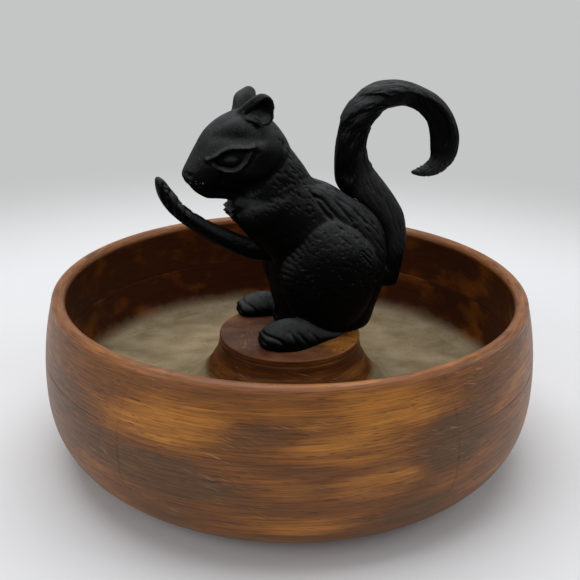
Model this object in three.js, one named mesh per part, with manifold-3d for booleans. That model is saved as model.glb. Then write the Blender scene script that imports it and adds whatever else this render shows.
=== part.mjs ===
// Lever nutcracker: a cast squirrel on the turned pedestal of a wooden nut bowl.
// Millimetres, +Z up. The origin is the centre of the bowl's underside, and the squirrel faces -X.
// The tail and the cupped arms are one lever on a cross pin: the tail goes back, the arms come up.
import * as THREE from 'three';
import { mergeVertices } from 'three/addons/utils/BufferGeometryUtils.js';
import Module from 'manifold-3d';

const wasm = await Module();
wasm.setup();

// The bowl is glued from boards and turned. The lathe leaves a round bead along its mouth.
const BOWL = {
  baseRadius: 80,
  bellyRadius: 127,
  bellyHeight: 47.6,
  wall: 8.4,
  beadRadius: 3.5,
  mouthInset: 8.6,
  floorFillet: 14,
};
const ROLLOVER_EXPONENT = 2.56;

// Board thicknesses from the table up, and the joints where narrow boards are glued on.
const BASE_BOARD = 30.5;
const MIDDLE_BOARD = 29;
const RIM_BOARD = 30;
const BOARD_JOINT = { inset: 24, gap: 0.3, turnDegrees: -20 };

// Each ring's pieces: narrow boards before and behind, and what the bore leaves of the wide one.
const RING_PIECES = {
  front_board: [0, -1],
  back_board: [0, 1],
  left_arc: [-1, 0],
  right_arc: [1, 0],
};

// The pedestal is one block, turned to a hollow flare that runs out into the floor.
const PEDESTAL = { height: 30.5, topRadius: 37.2, footRadius: 57, arris: 0.8 };
const LAND = { height: 1, runout: 7 };
const FLARE_SHARES = [
  [0, 1],
  [0.055, 0.82],
  [0.13, 0.68],
  [0.24, 0.53],
  [0.36, 0.37],
  [0.5, 0.23],
  [0.68, 0.08],
  [0.85, 0.012],
];

const FLOOR_HEIGHT = BASE_BOARD - LAND.height;
const INNER_BELLY_RADIUS = BOWL.bellyRadius - BOWL.wall;
const STAND = BASE_BOARD + PEDESTAL.height;
const TOP = BASE_BOARD + MIDDLE_BOARD + RIM_BOARD;
const BEAD_HEIGHT = TOP - BOWL.beadRadius;
const BEAD_CENTRE_RADIUS = BOWL.bellyRadius - BOWL.mouthInset;
const MOUTH_RADIUS = BEAD_CENTRE_RADIUS + BOWL.beadRadius;

// The casting stands a little to +Y of the bowl's axis. Heights are above the pedestal's top.
const ASIDE = 9;
const TORSO = { height: 103, depth: 78, width: 48 };
const HEAD = { noseX: -54, length: 56, drop: 7, height: 46, width: 35 };
const EAR = { behindNose: 36.8, lift: 9, height: 21, depth: 15.2, width: 9.2, spread: 27 };
const EAR_DISH = { radius: 5.6, setBack: 1.1, heightShare: 0.62 };
const HAUNCH = { x: 21, base: 1, height: 65, depth: 52, width: 24, spread: 29 };
const FOOT = { toeX: -22, length: 53, height: 12.4, width: 22.5, spread: 49 };
const SHOULDER = { x: 14, middle: 67, reach: 38, depth: 28, width: 18, spread: 24 };
const ANVIL = { teeth: 3, pitch: 2.6, depth: 4.4, width: 14, sunk: 1.9, belowHead: 34.4, valleyShare: 0.67 };
const HEAD_MIDDLE = TORSO.height - HEAD.drop;

// The lever turns on the pin. Its tail and arms are measured from the pin's centre.
const PIVOT = { fromBack: 32, height: 29 };
const TAIL = { reach: 64, rise: 106, thickness: 18, width: 19 };
const ARM = { reach: 113, rise: 58, thickness: 11.6, width: 17 };
const CLOSING_DEGREES = 5;
const ENVELOPE_STEPS = 4;
const LEVER_CLEARANCE = 0.5;

// Fasteners: round stock, holes with a running or a thread clearance, heads in counterbores.
const HOLE_CLEARANCE = 0.25;
const SEAT_GAP = 0.3;
const PIN = { radius: 2.5, length: 33, x: TORSO.depth - PIVOT.fromBack, height: PIVOT.height };
const BODY_SCREW = { radius: 2, headRadius: 3.6, headHeight: 2.2, inFar: 8, inNear: 8 };
const BODY_SCREW_INSET = { belowCrown: 23, fromBack: 42 };
const BODY_SCREW_PLACES = {
  neck: { x: -6, height: TORSO.height - BODY_SCREW_INSET.belowCrown },
  rump: { x: TORSO.depth - BODY_SCREW_INSET.fromBack, height: 11.5 },
};
const DOWEL = { radius: 1.5, length: 10, behindNose: 24, aboveMiddle: 1 };
const DOWEL_PLACES = {
  head: { x: HEAD.noseX + DOWEL.behindNose, height: HEAD_MIDDLE + DOWEL.aboveMiddle },
  belly: { x: 3, height: 19 },
};
const BASE_SCREW = { radius: 2.5, headRadius: 4.6, headHeight: 3.4, grip: 14, x: 14, spread: 24 };
const WASHER = { radius: 7, thickness: 1.2 };
const COUNTERBORE = { room: 1.5, depth: 8 };
const SCREW_HEAD_SHARES = { crownRadius: 0.7, side: 0.6 };

const ROUND_SIDES = 64;
const LIMB_SIDES = 18;
const SCREW_SIDES = 16;
const OVERRUN = 2;
const WELD = 1e-4;

// Rows run up the torso: share of height, of depth for the middle, then of depth and of width.
const TORSO_SHARES = [
  [0, 0.275, 0.62, 0.9],
  [0.03, 0.295, 0.69, 0.94],
  [0.09, 0.32, 0.74, 0.97],
  [0.185, 0.314, 0.808, 1],
  [0.28, 0.308, 0.846, 1],
  [0.38, 0.29, 0.887, 0.98],
  [0.475, 0.237, 0.962, 0.94],
  [0.553, 0.167, 0.995, 0.9],
  [0.631, 0.085, 0.94, 0.83],
  [0.69, 0.018, 0.81, 0.75],
  [0.738, -0.03, 0.705, 0.67],
  [0.786, -0.083, 0.53, 0.6],
  [0.864, -0.09, 0.39, 0.54],
  [0.942, -0.103, 0.26, 0.46],
  [1, -0.115, 0.13, 0.25],
];
// Rows run from the nose back: share of length, of height for the middle, of height and of width.
const HEAD_SHARES = [
  [0.007, -0.2, 0.1, 0.13],
  [0.025, -0.21, 0.2, 0.29],
  [0.07, -0.2, 0.37, 0.47],
  [0.134, -0.155, 0.55, 0.62],
  [0.214, -0.093, 0.748, 0.74],
  [0.32, -0.041, 0.878, 0.834],
  [0.43, -0.017, 0.965, 0.914],
  [0.536, 0, 1, 0.97],
  [0.643, 0.013, 0.97, 0.994],
  [0.75, 0.013, 0.826, 0.95],
  [0.857, 0, 0.61, 0.8],
  [0.946, -0.022, 0.37, 0.514],
  [1, -0.033, 0.13, 0.23],
];
// Rows run up the ear: share of height, of spread for the lean, of depth and of width.
const EAR_SHARES = [
  [0, 0.92, 0.833, 0.9],
  [0.38, 0.98, 0.972, 1],
  [0.62, 1.02, 1, 0.957],
  [0.81, 1.05, 0.833, 0.783],
  [0.93, 1.06, 0.5, 0.522],
  [0.985, 1.06, 0.14, 0.18],
];
// Rows run up the haunch: share of height, of depth for the middle, of depth and of width.
const HAUNCH_SHARES = [
  [0, -0.127, 0.475, 0.583],
  [0.09, -0.076, 0.68, 0.79],
  [0.215, -0.034, 0.847, 0.917],
  [0.37, 0, 0.966, 1],
  [0.523, 0.017, 1, 1],
  [0.677, 0.017, 0.932, 0.958],
  [0.8, 0.008, 0.78, 0.875],
  [0.892, 0, 0.56, 0.708],
  [0.962, -0.008, 0.305, 0.458],
  [0.992, -0.008, 0.1, 0.167],
];
// Rows run from the toes back: share of length, of height, of height and of width, of spread.
const FOOT_SHARES = [
  [0.013, 0.29, 0.242, 0.286, 0.92],
  [0.047, 0.26, 0.66, 0.64, 0.93],
  [0.15, 0.21, 1.14, 0.86, 0.96],
  [0.32, 0.16, 1.48, 0.98, 0.99],
  [0.49, 0.14, 1.46, 1, 1],
  [0.66, 0.08, 1.2, 0.952, 0.98],
  [0.83, 0.04, 0.84, 0.81, 0.92],
  [1, 0.02, 0.44, 0.476, 0.84],
];
// Rows run down the shoulder: shares of reach forwards and down, of depth and of width.
const SHOULDER_SHARES = [
  [0, 0, 0.36, 0.33],
  [-0.13, -0.03, 0.71, 0.67],
  [-0.32, -0.08, 0.93, 0.94],
  [-0.53, -0.16, 1, 1],
  [-0.74, -0.24, 0.89, 0.94],
  [-0.89, -0.29, 0.68, 0.78],
  [-1, -0.33, 0.36, 0.44],
];
// Rows run up the tail and round its curl: shares of reach, rise, thickness and width.
const TAIL_SHARES = [
  [0.219, -0.118, 0.444, 0.474],
  [0.231, -0.094, 0.622, 0.611],
  [0.258, -0.019, 0.633, 0.632],
  [0.288, 0.066, 0.589, 0.663],
  [0.297, 0.142, 0.556, 0.737],
  [0.256, 0.236, 0.644, 0.842],
  [0.184, 0.307, 0.711, 0.905],
  [0.098, 0.368, 0.778, 0.947],
  [-0.019, 0.429, 0.911, 1],
  [-0.118, 0.483, 1.19, 1],
  [-0.158, 0.566, 0.96, 0.98],
  [-0.152, 0.67, 0.922, 0.947],
  [-0.116, 0.75, 0.922, 0.947],
  [-0.039, 0.821, 0.933, 0.947],
  [0.067, 0.864, 0.867, 0.947],
  [0.188, 0.877, 0.778, 0.926],
  [0.305, 0.87, 0.7, 0.895],
  [0.422, 0.846, 0.644, 0.842],
  [0.531, 0.811, 0.656, 0.842],
  [0.622, 0.759, 0.689, 0.842],
  [0.677, 0.696, 0.756, 0.842],
  [0.7, 0.627, 0.822, 0.8],
  [0.688, 0.564, 0.778, 0.737],
  [0.63, 0.513, 0.622, 0.632],
  [0.547, 0.485, 0.444, 0.484],
  [0.466, 0.475, 0.278, 0.316],
  [0.398, 0.472, 0.09, 0.105],
];
// Rows run from the hands back to the pin and the tail's foot: shares of reach, rise, thickness, width.
const ARM_SHARES = [
  [-0.995, 0.993, 0.167, 0.188],
  [-0.982, 0.94, 0.433, 0.471],
  [-0.96, 0.845, 0.6, 0.682],
  [-0.926, 0.741, 0.667, 0.824],
  [-0.881, 0.652, 0.7, 0.918],
  [-0.83, 0.571, 0.733, 0.976],
  [-0.765, 0.483, 0.817, 1],
  [-0.696, 0.403, 0.867, 0.941],
  [-0.628, 0.338, 0.95, 0.8],
  [-0.558, 0.284, 1, 0.706],
  [-0.451, 0.234, 1, 0.706],
  [-0.301, 0.164, 1, 0.706],
  [-0.142, 0.086, 1, 0.706],
  [0, 0.009, 1.167, 0.706],
  [0.088, -0.069, 1.083, 0.706],
  [0.133, -0.138, 0.667, 0.529],
];
// The cup hollowed into the upper side of the arms, in the same shares.
const CUP_SHARES = [
  [-0.885, 0.733, 0.167, 0.235],
  [-0.85, 0.693, 0.5, 0.588],
  [-0.788, 0.609, 0.633, 0.741],
  [-0.717, 0.526, 0.667, 0.706],
  [-0.655, 0.466, 0.633, 0.565],
  [-0.611, 0.428, 0.333, 0.353],
];

// A closed geometry as a solid, with shared corners merged and collapsed triangles left out.
function solidFrom(geometry) {
  const bare = geometry.clone();
  bare.deleteAttribute('normal');
  bare.deleteAttribute('uv');
  const welded = mergeVertices(bare, WELD);
  const corners = welded.index.array;
  const kept = [];
  for (let i = 0; i < corners.length; i += 3) {
    const [a, b, c] = corners.slice(i, i + 3);
    if (a !== b && b !== c && c !== a) kept.push(a, b, c);
  }
  const mesh = new wasm.Mesh({
    numProp: 3,
    vertProperties: new Float32Array(welded.attributes.position.array),
    triVerts: new Uint32Array(kept),
  });
  return new wasm.Manifold(mesh);
}

function joined(solids) {
  return solids.reduce((sum, solid) => sum.add(solid));
}

function cut(solid, tools) {
  return tools.reduce((rest, tool) => rest.subtract(tool), solid);
}

// A profile of [radius, height] points, anticlockwise with the axis on the left, turned about Z.
function turned(profile, sides) {
  const points = profile.map(([radius, height]) => new THREE.Vector2(radius, height));
  const closed = points[0].x === 0 ? points : [...points, points[0]];
  return new THREE.LatheGeometry(closed, sides).rotateX(Math.PI / 2);
}

function rod(radius, low, high, sides = SCREW_SIDES) {
  return turned([[0, low], [radius, low], [radius, high], [0, high]], sides);
}

// A rod along Y, from one side of the casting's middle plane to the other.
function crossRod(radius, low, high, place) {
  return rod(radius, low, high).rotateX(-Math.PI / 2).translate(place.x, ASIDE, STAND + place.height);
}

function box(size, middle) {
  return solidFrom(new THREE.BoxGeometry(...size).translate(...middle));
}

// A closed skin over rings: each ring is an ellipse about its centre, with two half-axes.
function skin(rings, sides = LIMB_SIDES) {
  const points = [];
  for (const { centre, first, second } of rings) {
    for (let k = 0; k < sides; k++) {
      const angle = (2 * Math.PI * k) / sides;
      const across = first.clone().multiplyScalar(Math.cos(angle));
      points.push(centre.clone().add(across).addScaledVector(second, Math.sin(angle)));
    }
  }
  const startCap = points.push(rings[0].centre) - 1;
  const endCap = points.push(rings.at(-1).centre) - 1;
  const lastRing = (rings.length - 1) * sides;
  const corners = [];
  for (let k = 0; k < sides; k++) {
    const next = (k + 1) % sides;
    corners.push(startCap, next, k, endCap, lastRing + k, lastRing + next);
    for (let ring = 0; ring < lastRing; ring += sides) {
      corners.push(ring + k, ring + next, ring + sides + next);
      corners.push(ring + k, ring + sides + next, ring + sides + k);
    }
  }
  const geometry = new THREE.BufferGeometry().setFromPoints(points);
  geometry.setIndex(corners);
  return geometry;
}

const alongX = (size) => new THREE.Vector3(size, 0, 0);
const alongY = (size) => new THREE.Vector3(0, size, 0);
const alongZ = (size) => new THREE.Vector3(0, 0, size);

// Rings that cross a spine in the casting's middle plane, square to it. Shares come as rows.
function spineRings(shares, start, scale) {
  const centres = shares.map(([forward, up]) => new THREE.Vector3(
    start.x + forward * scale.reach, start.y, start.z + up * scale.rise));
  return shares.map(([, , thick, wide], i) => {
    const before = centres[Math.max(i - 1, 0)];
    const after = centres[Math.min(i + 1, centres.length - 1)];
    const along = after.clone().sub(before).normalize();
    const first = new THREE.Vector3(-along.z, 0, along.x);
    const halfThick = (thick * scale.thickness) / 2 + scale.grow;
    const halfWide = (wide * scale.width) / 2 + scale.grow;
    return { centre: centres[i], first: first.multiplyScalar(-halfThick), second: alongY(halfWide) };
  });
}

const pivotPoint = new THREE.Vector3(PIN.x, ASIDE, STAND + PIN.height);

function leverSpine(shares, size, grow) {
  return solidFrom(skin(spineRings(shares, pivotPoint, { ...size, grow })));
}

// The bowl's outside: a superellipse from the underside to the belly, a parabola to the mouth.
function outerRadius(height) {
  if (height < BOWL.bellyHeight) {
    const drop = 1 - height / BOWL.bellyHeight;
    const share = (1 - drop ** ROLLOVER_EXPONENT) ** (1 / ROLLOVER_EXPONENT);
    return BOWL.baseRadius + (BOWL.bellyRadius - BOWL.baseRadius) * share;
  }
  const rise = (height - BOWL.bellyHeight) / (BEAD_HEIGHT - BOWL.bellyHeight);
  return BOWL.bellyRadius - (BOWL.bellyRadius - MOUTH_RADIUS) * rise ** 2;
}

// The bowl's inside wall leans in to the bead above the fillet, which rounds it into the floor.
function innerRadius(height) {
  const filletTop = FLOOR_HEIGHT + BOWL.floorFillet;
  if (height < filletTop) {
    const drop = filletTop - height;
    const run = Math.sqrt(BOWL.floorFillet ** 2 - drop ** 2);
    return INNER_BELLY_RADIUS - BOWL.floorFillet + run;
  }
  const rise = (height - filletTop) / (BEAD_HEIGHT - filletTop);
  const mouth = BEAD_CENTRE_RADIUS - BOWL.beadRadius;
  return INNER_BELLY_RADIUS - (INNER_BELLY_RADIUS - mouth) * rise ** 2;
}

function heights(low, high, count) {
  return Array.from({ length: count }, (_, i) => low + ((high - low) * i) / (count - 1));
}

const outerLine = (low, high, count) => heights(low, high, count).map((z) => [outerRadius(z), z]);
const innerLine = (low, high, count) => heights(high, low, count).map((z) => [innerRadius(z), z]);

// Base board: its top is the floor, with the land that carries the pedestal left standing.
function makeBaseBoard() {
  const steps = 9;
  const outer = Array.from({ length: steps }, (_, i) => {
    const height = BASE_BOARD * (i / (steps - 1)) ** 2;
    return [outerRadius(height), height];
  });
  const floorEdge = INNER_BELLY_RADIUS - BOWL.floorFillet;
  const profile = [
    [0, 0],
    ...outer,
    ...innerLine(FLOOR_HEIGHT, BASE_BOARD, 3).slice(0, -1),
    [floorEdge, FLOOR_HEIGHT],
    [PEDESTAL.footRadius + LAND.runout, FLOOR_HEIGHT],
    [PEDESTAL.footRadius, BASE_BOARD],
    [0, BASE_BOARD],
  ];
  return cut(solidFrom(turned(profile, ROUND_SIDES)), baseScrewTools());
}

// Holes for the two long screws, with counterbores that keep their heads off the table.
function baseScrewTools() {
  const hole = BASE_SCREW.radius + HOLE_CLEARANCE;
  return baseScrewPlaces().flatMap(({ x, y }) => [
    solidFrom(rod(hole, -OVERRUN, STAND + OVERRUN).translate(x, y, 0)),
    solidFrom(rod(WASHER.radius + COUNTERBORE.room, -OVERRUN, COUNTERBORE.depth).translate(x, y, 0)),
  ]);
}

function baseScrewPlaces() {
  return [-1, 1].map((side) => ({ side, x: BASE_SCREW.x, y: ASIDE + (side * BASE_SCREW.spread) / 2 }));
}

function makeMiddleRing() {
  const top = BASE_BOARD + MIDDLE_BOARD;
  return solidFrom(turned([...outerLine(BASE_BOARD, top, 5), ...innerLine(BASE_BOARD, top, 7)], ROUND_SIDES));
}

function makeRimRing() {
  const low = BASE_BOARD + MIDDLE_BOARD;
  const beadSteps = 7;
  const bead = Array.from({ length: beadSteps }, (_, i) => {
    const angle = (Math.PI * (i + 1)) / (beadSteps + 1);
    const radius = BEAD_CENTRE_RADIUS + BOWL.beadRadius * Math.cos(angle);
    return [radius, BEAD_HEIGHT + BOWL.beadRadius * Math.sin(angle)];
  });
  const profile = [...outerLine(low, BEAD_HEIGHT, 4), ...bead, ...innerLine(low, BEAD_HEIGHT, 4)];
  return solidFrom(turned(profile, ROUND_SIDES));
}

// The block that one piece of a ring is turned from, with the joints' gap, turned with the grain.
function ringBlock([sideways, forwards]) {
  const size = 4 * BOWL.bellyRadius;
  const joint = BOWL.bellyRadius - BOARD_JOINT.inset;
  const narrowEdge = joint + BOARD_JOINT.gap / 2;
  const wideEdge = joint - BOARD_JOINT.gap / 2;
  const depth = forwards === 0 ? 2 * wideEdge : size;
  const block = new THREE.BoxGeometry(size, depth, size);
  block.translate((sideways * size) / 2, forwards * (narrowEdge + depth / 2), 0);
  return solidFrom(block.rotateZ(THREE.MathUtils.degToRad(BOARD_JOINT.turnDegrees)));
}

// The pedestal's hollow flare, with its top edge eased by the arris.
function makePedestal() {
  const spread = PEDESTAL.footRadius - PEDESTAL.topRadius;
  const flare = FLARE_SHARES.map(([up, out]) => [
    PEDESTAL.topRadius + spread * out, BASE_BOARD + PEDESTAL.height * up]);
  const profile = [
    [0, BASE_BOARD],
    ...flare,
    [PEDESTAL.topRadius, STAND - PEDESTAL.arris],
    [PEDESTAL.topRadius - PEDESTAL.arris, STAND],
    [0, STAND],
  ];
  const hole = BASE_SCREW.radius + HOLE_CLEARANCE;
  const tools = baseScrewPlaces().map(({ x, y }) => (
    solidFrom(rod(hole, BASE_BOARD - OVERRUN, STAND + OVERRUN).translate(x, y, 0))));
  return cut(solidFrom(turned(profile, ROUND_SIDES)), tools);
}

function makeTorso() {
  const rings = TORSO_SHARES.map(([up, middle, deep, wide]) => ({
    centre: new THREE.Vector3(middle * TORSO.depth, ASIDE, STAND + up * TORSO.height),
    first: alongX((deep * TORSO.depth) / 2),
    second: alongY((wide * TORSO.width) / 2),
  }));
  return solidFrom(skin(rings, LIMB_SIDES + 6));
}

function makeHead() {
  const rings = HEAD_SHARES.map(([back, up, tall, wide]) => ({
    centre: new THREE.Vector3(HEAD.noseX + back * HEAD.length, ASIDE, STAND + HEAD_MIDDLE + up * HEAD.height),
    first: alongY((wide * HEAD.width) / 2),
    second: alongZ((tall * HEAD.height) / 2),
  }));
  return solidFrom(skin(rings, LIMB_SIDES + 2));
}

// A rounded ear, dished on its outer side.
function makeEar(side) {
  const x = HEAD.noseX + EAR.behindNose;
  const base = STAND + HEAD_MIDDLE + EAR.lift;
  const out = (side * EAR.spread) / 2;
  const rings = EAR_SHARES.map(([up, lean, deep, wide]) => ({
    centre: new THREE.Vector3(x, ASIDE + lean * out, base + up * EAR.height),
    first: alongX((deep * EAR.depth) / 2),
    second: alongY((wide * EAR.width) / 2),
  }));
  const dish = new THREE.SphereGeometry(EAR_DISH.radius, 10, 8).rotateX(Math.PI / 2);
  const outside = ASIDE + out + side * EAR_DISH.radius;
  dish.translate(x + EAR_DISH.setBack, outside, base + EAR.height * EAR_DISH.heightShare);
  return solidFrom(skin(rings, LIMB_SIDES - 4)).subtract(solidFrom(dish));
}

function makeHaunch(side) {
  const y = ASIDE + (side * HAUNCH.spread) / 2;
  const bottom = STAND + HAUNCH.base;
  const rings = HAUNCH_SHARES.map(([up, middle, deep, wide]) => ({
    centre: new THREE.Vector3(HAUNCH.x + middle * HAUNCH.depth, y, bottom + up * HAUNCH.height),
    first: alongX((deep * HAUNCH.depth) / 2),
    second: alongY((wide * HAUNCH.width) / 2),
  }));
  return solidFrom(skin(rings));
}

function makeFoot(side) {
  const half = (side * FOOT.spread) / 2;
  const rings = FOOT_SHARES.map(([back, up, tall, wide, out]) => ({
    centre: new THREE.Vector3(FOOT.toeX + back * FOOT.length, ASIDE + out * half, STAND + up * FOOT.height),
    first: alongY((wide * FOOT.width) / 2),
    second: alongZ((tall * FOOT.height) / 2),
  }));
  return solidFrom(skin(rings, LIMB_SIDES - 2));
}

function makeShoulder(side) {
  const start = new THREE.Vector3(SHOULDER.x, ASIDE + (side * SHOULDER.spread) / 2, STAND + SHOULDER.middle);
  const scale = {
    reach: SHOULDER.reach, rise: SHOULDER.reach, thickness: SHOULDER.depth, width: SHOULDER.width, grow: 0,
  };
  return solidFrom(skin(spineRings(SHOULDER_SHARES, start, scale), LIMB_SIDES - 4));
}

// How far forward the chest reaches at a height above the pedestal's top.
function chestFront(height) {
  const share = height / TORSO.height;
  const above = TORSO_SHARES.findIndex(([up]) => up > share);
  const [low, high] = [TORSO_SHARES[above - 1], TORSO_SHARES[above]];
  const part = (share - low[0]) / (high[0] - low[0]);
  const [, middle, deep] = low.map((value, i) => value + (high[i] - value) * part);
  return (middle - deep / 2) * TORSO.depth;
}

// The biting teeth under the chin: sharp cross ridges that the nut is pressed against.
function makeAnvil() {
  const outline = [[0, 0]];
  for (let tooth = 0; tooth < ANVIL.teeth; tooth++) {
    outline.push([-ANVIL.depth, (tooth + 0.5) * ANVIL.pitch]);
    outline.push([-ANVIL.depth * ANVIL.valleyShare, (tooth + 1) * ANVIL.pitch]);
  }
  outline.push([0, (ANVIL.teeth + 0.5) * ANVIL.pitch]);
  const shape = new THREE.Shape(outline.map(([x, y]) => new THREE.Vector2(x, y)));
  const ridges = new THREE.ExtrudeGeometry(shape, { depth: ANVIL.width, bevelEnabled: false });
  const height = HEAD_MIDDLE - ANVIL.belowHead;
  const root = chestFront(height) + ANVIL.sunk;
  ridges.rotateX(Math.PI / 2).translate(root, ASIDE + ANVIL.width / 2, STAND + height);
  return solidFrom(ridges);
}

// Everything that the lever sweeps between its two stops, with its running clearance.
function leverEnvelope() {
  const grownTail = leverSpine(TAIL_SHARES, TAIL, LEVER_CLEARANCE);
  const grown = grownTail.add(leverSpine(ARM_SHARES, ARM, LEVER_CLEARANCE));
  const { x, y, z } = pivotPoint;
  return joined(heights(0, CLOSING_DEGREES, ENVELOPE_STEPS).map((angle) => (
    grown.translate([-x, -y, -z]).rotate([0, angle, 0]).translate([x, y, z]))));
}

function makeLever() {
  const blank = leverSpine(TAIL_SHARES, TAIL, 0).add(leverSpine(ARM_SHARES, ARM, 0));
  const cup = leverSpine(CUP_SHARES, ARM, 0);
  const bore = solidFrom(crossRod(PIN.radius + HOLE_CLEARANCE, -ARM.width, ARM.width, PIN));
  return cut(blank, [cup, bore]);
}

// Both halves of the casting, before they are parted along the middle plane.
function makeCasting() {
  const limbs = [-1, 1].flatMap((side) => (
    [makeEar(side), makeHaunch(side), makeFoot(side), makeShoulder(side)]));
  const whole = joined([makeTorso(), makeHead(), makeAnvil(), ...limbs]);
  const reach = 4 * TORSO.height;
  const below = box([reach, reach, reach], [0, ASIDE, STAND - reach / 2]);
  const thread = BASE_SCREW.radius + HOLE_CLEARANCE;
  const baseHoles = baseScrewPlaces().map(({ x, y }) => (
    solidFrom(rod(thread, STAND - OVERRUN, STAND + BASE_SCREW.grip + OVERRUN).translate(x, y, 0))));
  const pinHole = solidFrom(crossRod(PIN.radius + HOLE_CLEARANCE, -TORSO.width, TORSO.width, PIN));
  const screwHoles = Object.values(BODY_SCREW_PLACES).flatMap((place) => [
    solidFrom(crossRod(BODY_SCREW.radius + HOLE_CLEARANCE, -BODY_SCREW.inNear - OVERRUN, TORSO.width, place)),
    solidFrom(crossRod(BODY_SCREW.headRadius + SEAT_GAP, BODY_SCREW.inFar, TORSO.width, place)),
  ]);
  const half = DOWEL.length / 2 + SEAT_GAP;
  const dowelHoles = Object.values(DOWEL_PLACES).map((place) => (
    solidFrom(crossRod(DOWEL.radius + HOLE_CLEARANCE, -half, half, place))));
  return cut(whole, [below, leverEnvelope(), pinHole, ...baseHoles, ...screwHoles, ...dowelHoles]);
}

function makeHalf(casting, side) {
  const reach = 4 * TORSO.height;
  return casting.intersect(box([reach, reach, reach], [0, ASIDE + (side * reach) / 2, STAND]));
}

// A screw from the far side: its head sits in the far half, and its end is threaded into the near one.
function makeBodyScrew(place) {
  const seat = BODY_SCREW.inFar + SEAT_GAP;
  const profile = [
    [0, -BODY_SCREW.inNear],
    [BODY_SCREW.radius, -BODY_SCREW.inNear],
    [BODY_SCREW.radius, seat],
    [BODY_SCREW.headRadius, seat],
    [BODY_SCREW.headRadius, seat + BODY_SCREW.headHeight * SCREW_HEAD_SHARES.side],
    [BODY_SCREW.headRadius * SCREW_HEAD_SHARES.crownRadius, seat + BODY_SCREW.headHeight],
    [0, seat + BODY_SCREW.headHeight],
  ];
  const screw = turned(profile, SCREW_SIDES).rotateX(-Math.PI / 2);
  return solidFrom(screw.translate(place.x, ASIDE, STAND + place.height));
}

// A long screw from under the bowl, through the pedestal and into one half of the casting.
function makeBaseScrew({ x, y }) {
  const seat = COUNTERBORE.depth - WASHER.thickness - SEAT_GAP;
  const head = seat - BASE_SCREW.headHeight;
  const profile = [
    [0, head],
    [BASE_SCREW.headRadius * SCREW_HEAD_SHARES.crownRadius, head],
    [BASE_SCREW.headRadius, seat - BASE_SCREW.headHeight * SCREW_HEAD_SHARES.side],
    [BASE_SCREW.headRadius, seat],
    [BASE_SCREW.radius, seat],
    [BASE_SCREW.radius, STAND + BASE_SCREW.grip],
    [0, STAND + BASE_SCREW.grip],
  ];
  return solidFrom(turned(profile, SCREW_SIDES).translate(x, y, 0));
}

function makeWasher({ x, y }) {
  const low = COUNTERBORE.depth - WASHER.thickness;
  const bore = BASE_SCREW.radius + HOLE_CLEARANCE;
  const top = COUNTERBORE.depth;
  const profile = [[bore, low], [WASHER.radius, low], [WASHER.radius, top], [bore, top]];
  return solidFrom(turned(profile, SCREW_SIDES).translate(x, y, 0));
}

const walnut = { color: 0x6f4220, roughness: 0.45, metalness: 0 };
const WOOD = new THREE.MeshStandardMaterial(walnut);
const RIM_WOOD = new THREE.MeshStandardMaterial({ ...walnut, color: 0x7a4630 });
const PEDESTAL_WOOD = new THREE.MeshStandardMaterial({ ...walnut, color: 0x5a3a22 });
const BLACK_IRON = new THREE.MeshStandardMaterial({ color: 0x1b1c1d, roughness: 0.6, metalness: 0.4 });
const STEEL = new THREE.MeshStandardMaterial({ color: 0x8a8d90, roughness: 0.4, metalness: 1 });

const press = new THREE.Group();

function place(name, solid, material) {
  const { vertProperties, triVerts } = solid.getMesh();
  const geometry = new THREE.BufferGeometry();
  geometry.setAttribute('position', new THREE.BufferAttribute(vertProperties, 3));
  geometry.setIndex(new THREE.BufferAttribute(triVerts, 1));
  geometry.computeVertexNormals();
  const mesh = new THREE.Mesh(geometry, material.clone());
  mesh.name = name;
  press.add(mesh);
}

const middleRing = makeMiddleRing();
const rimRing = makeRimRing();
place('bowl_base_board', makeBaseBoard(), WOOD);
for (const [piece, side] of Object.entries(RING_PIECES)) {
  place(`bowl_middle_${piece}`, middleRing.intersect(ringBlock(side)), WOOD);
  place(`bowl_rim_${piece}`, rimRing.intersect(ringBlock(side)), RIM_WOOD);
}
place('pedestal', makePedestal(), PEDESTAL_WOOD);

const casting = makeCasting();
place('squirrel_near_half', makeHalf(casting, -1), BLACK_IRON);
place('squirrel_far_half', makeHalf(casting, 1), BLACK_IRON);
place('tail_lever', makeLever(), BLACK_IRON);
place('pivot_pin', solidFrom(crossRod(PIN.radius, -PIN.length / 2, PIN.length / 2, PIN)), BLACK_IRON);
for (const [where, spot] of Object.entries(BODY_SCREW_PLACES)) {
  place(`body_screw_${where}`, makeBodyScrew(spot), STEEL);
}
for (const [where, spot] of Object.entries(DOWEL_PLACES)) {
  const half = DOWEL.length / 2;
  place(`dowel_pin_${where}`, solidFrom(crossRod(DOWEL.radius, -half, half, spot)), STEEL);
}
for (const spot of baseScrewPlaces()) {
  const side = spot.side < 0 ? 'near' : 'far';
  place(`base_screw_${side}`, makeBaseScrew(spot), STEEL);
  place(`base_washer_${side}`, makeWasher(spot), STEEL);
}

export default press;
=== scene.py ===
"""Lever nutcracker: a cast squirrel on the turned pedestal of a round wooden nut bowl.

Every size is in millimetres, +Z up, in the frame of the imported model: the origin is the middle of
the bowl's underside and the squirrel faces -X. A mesh is put in in metres.
"""
from __future__ import annotations

import logging
import math
from collections.abc import Callable
from dataclasses import dataclass
from enum import Enum

import bpy
import numpy as np
from mathutils import Matrix, Vector


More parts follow.
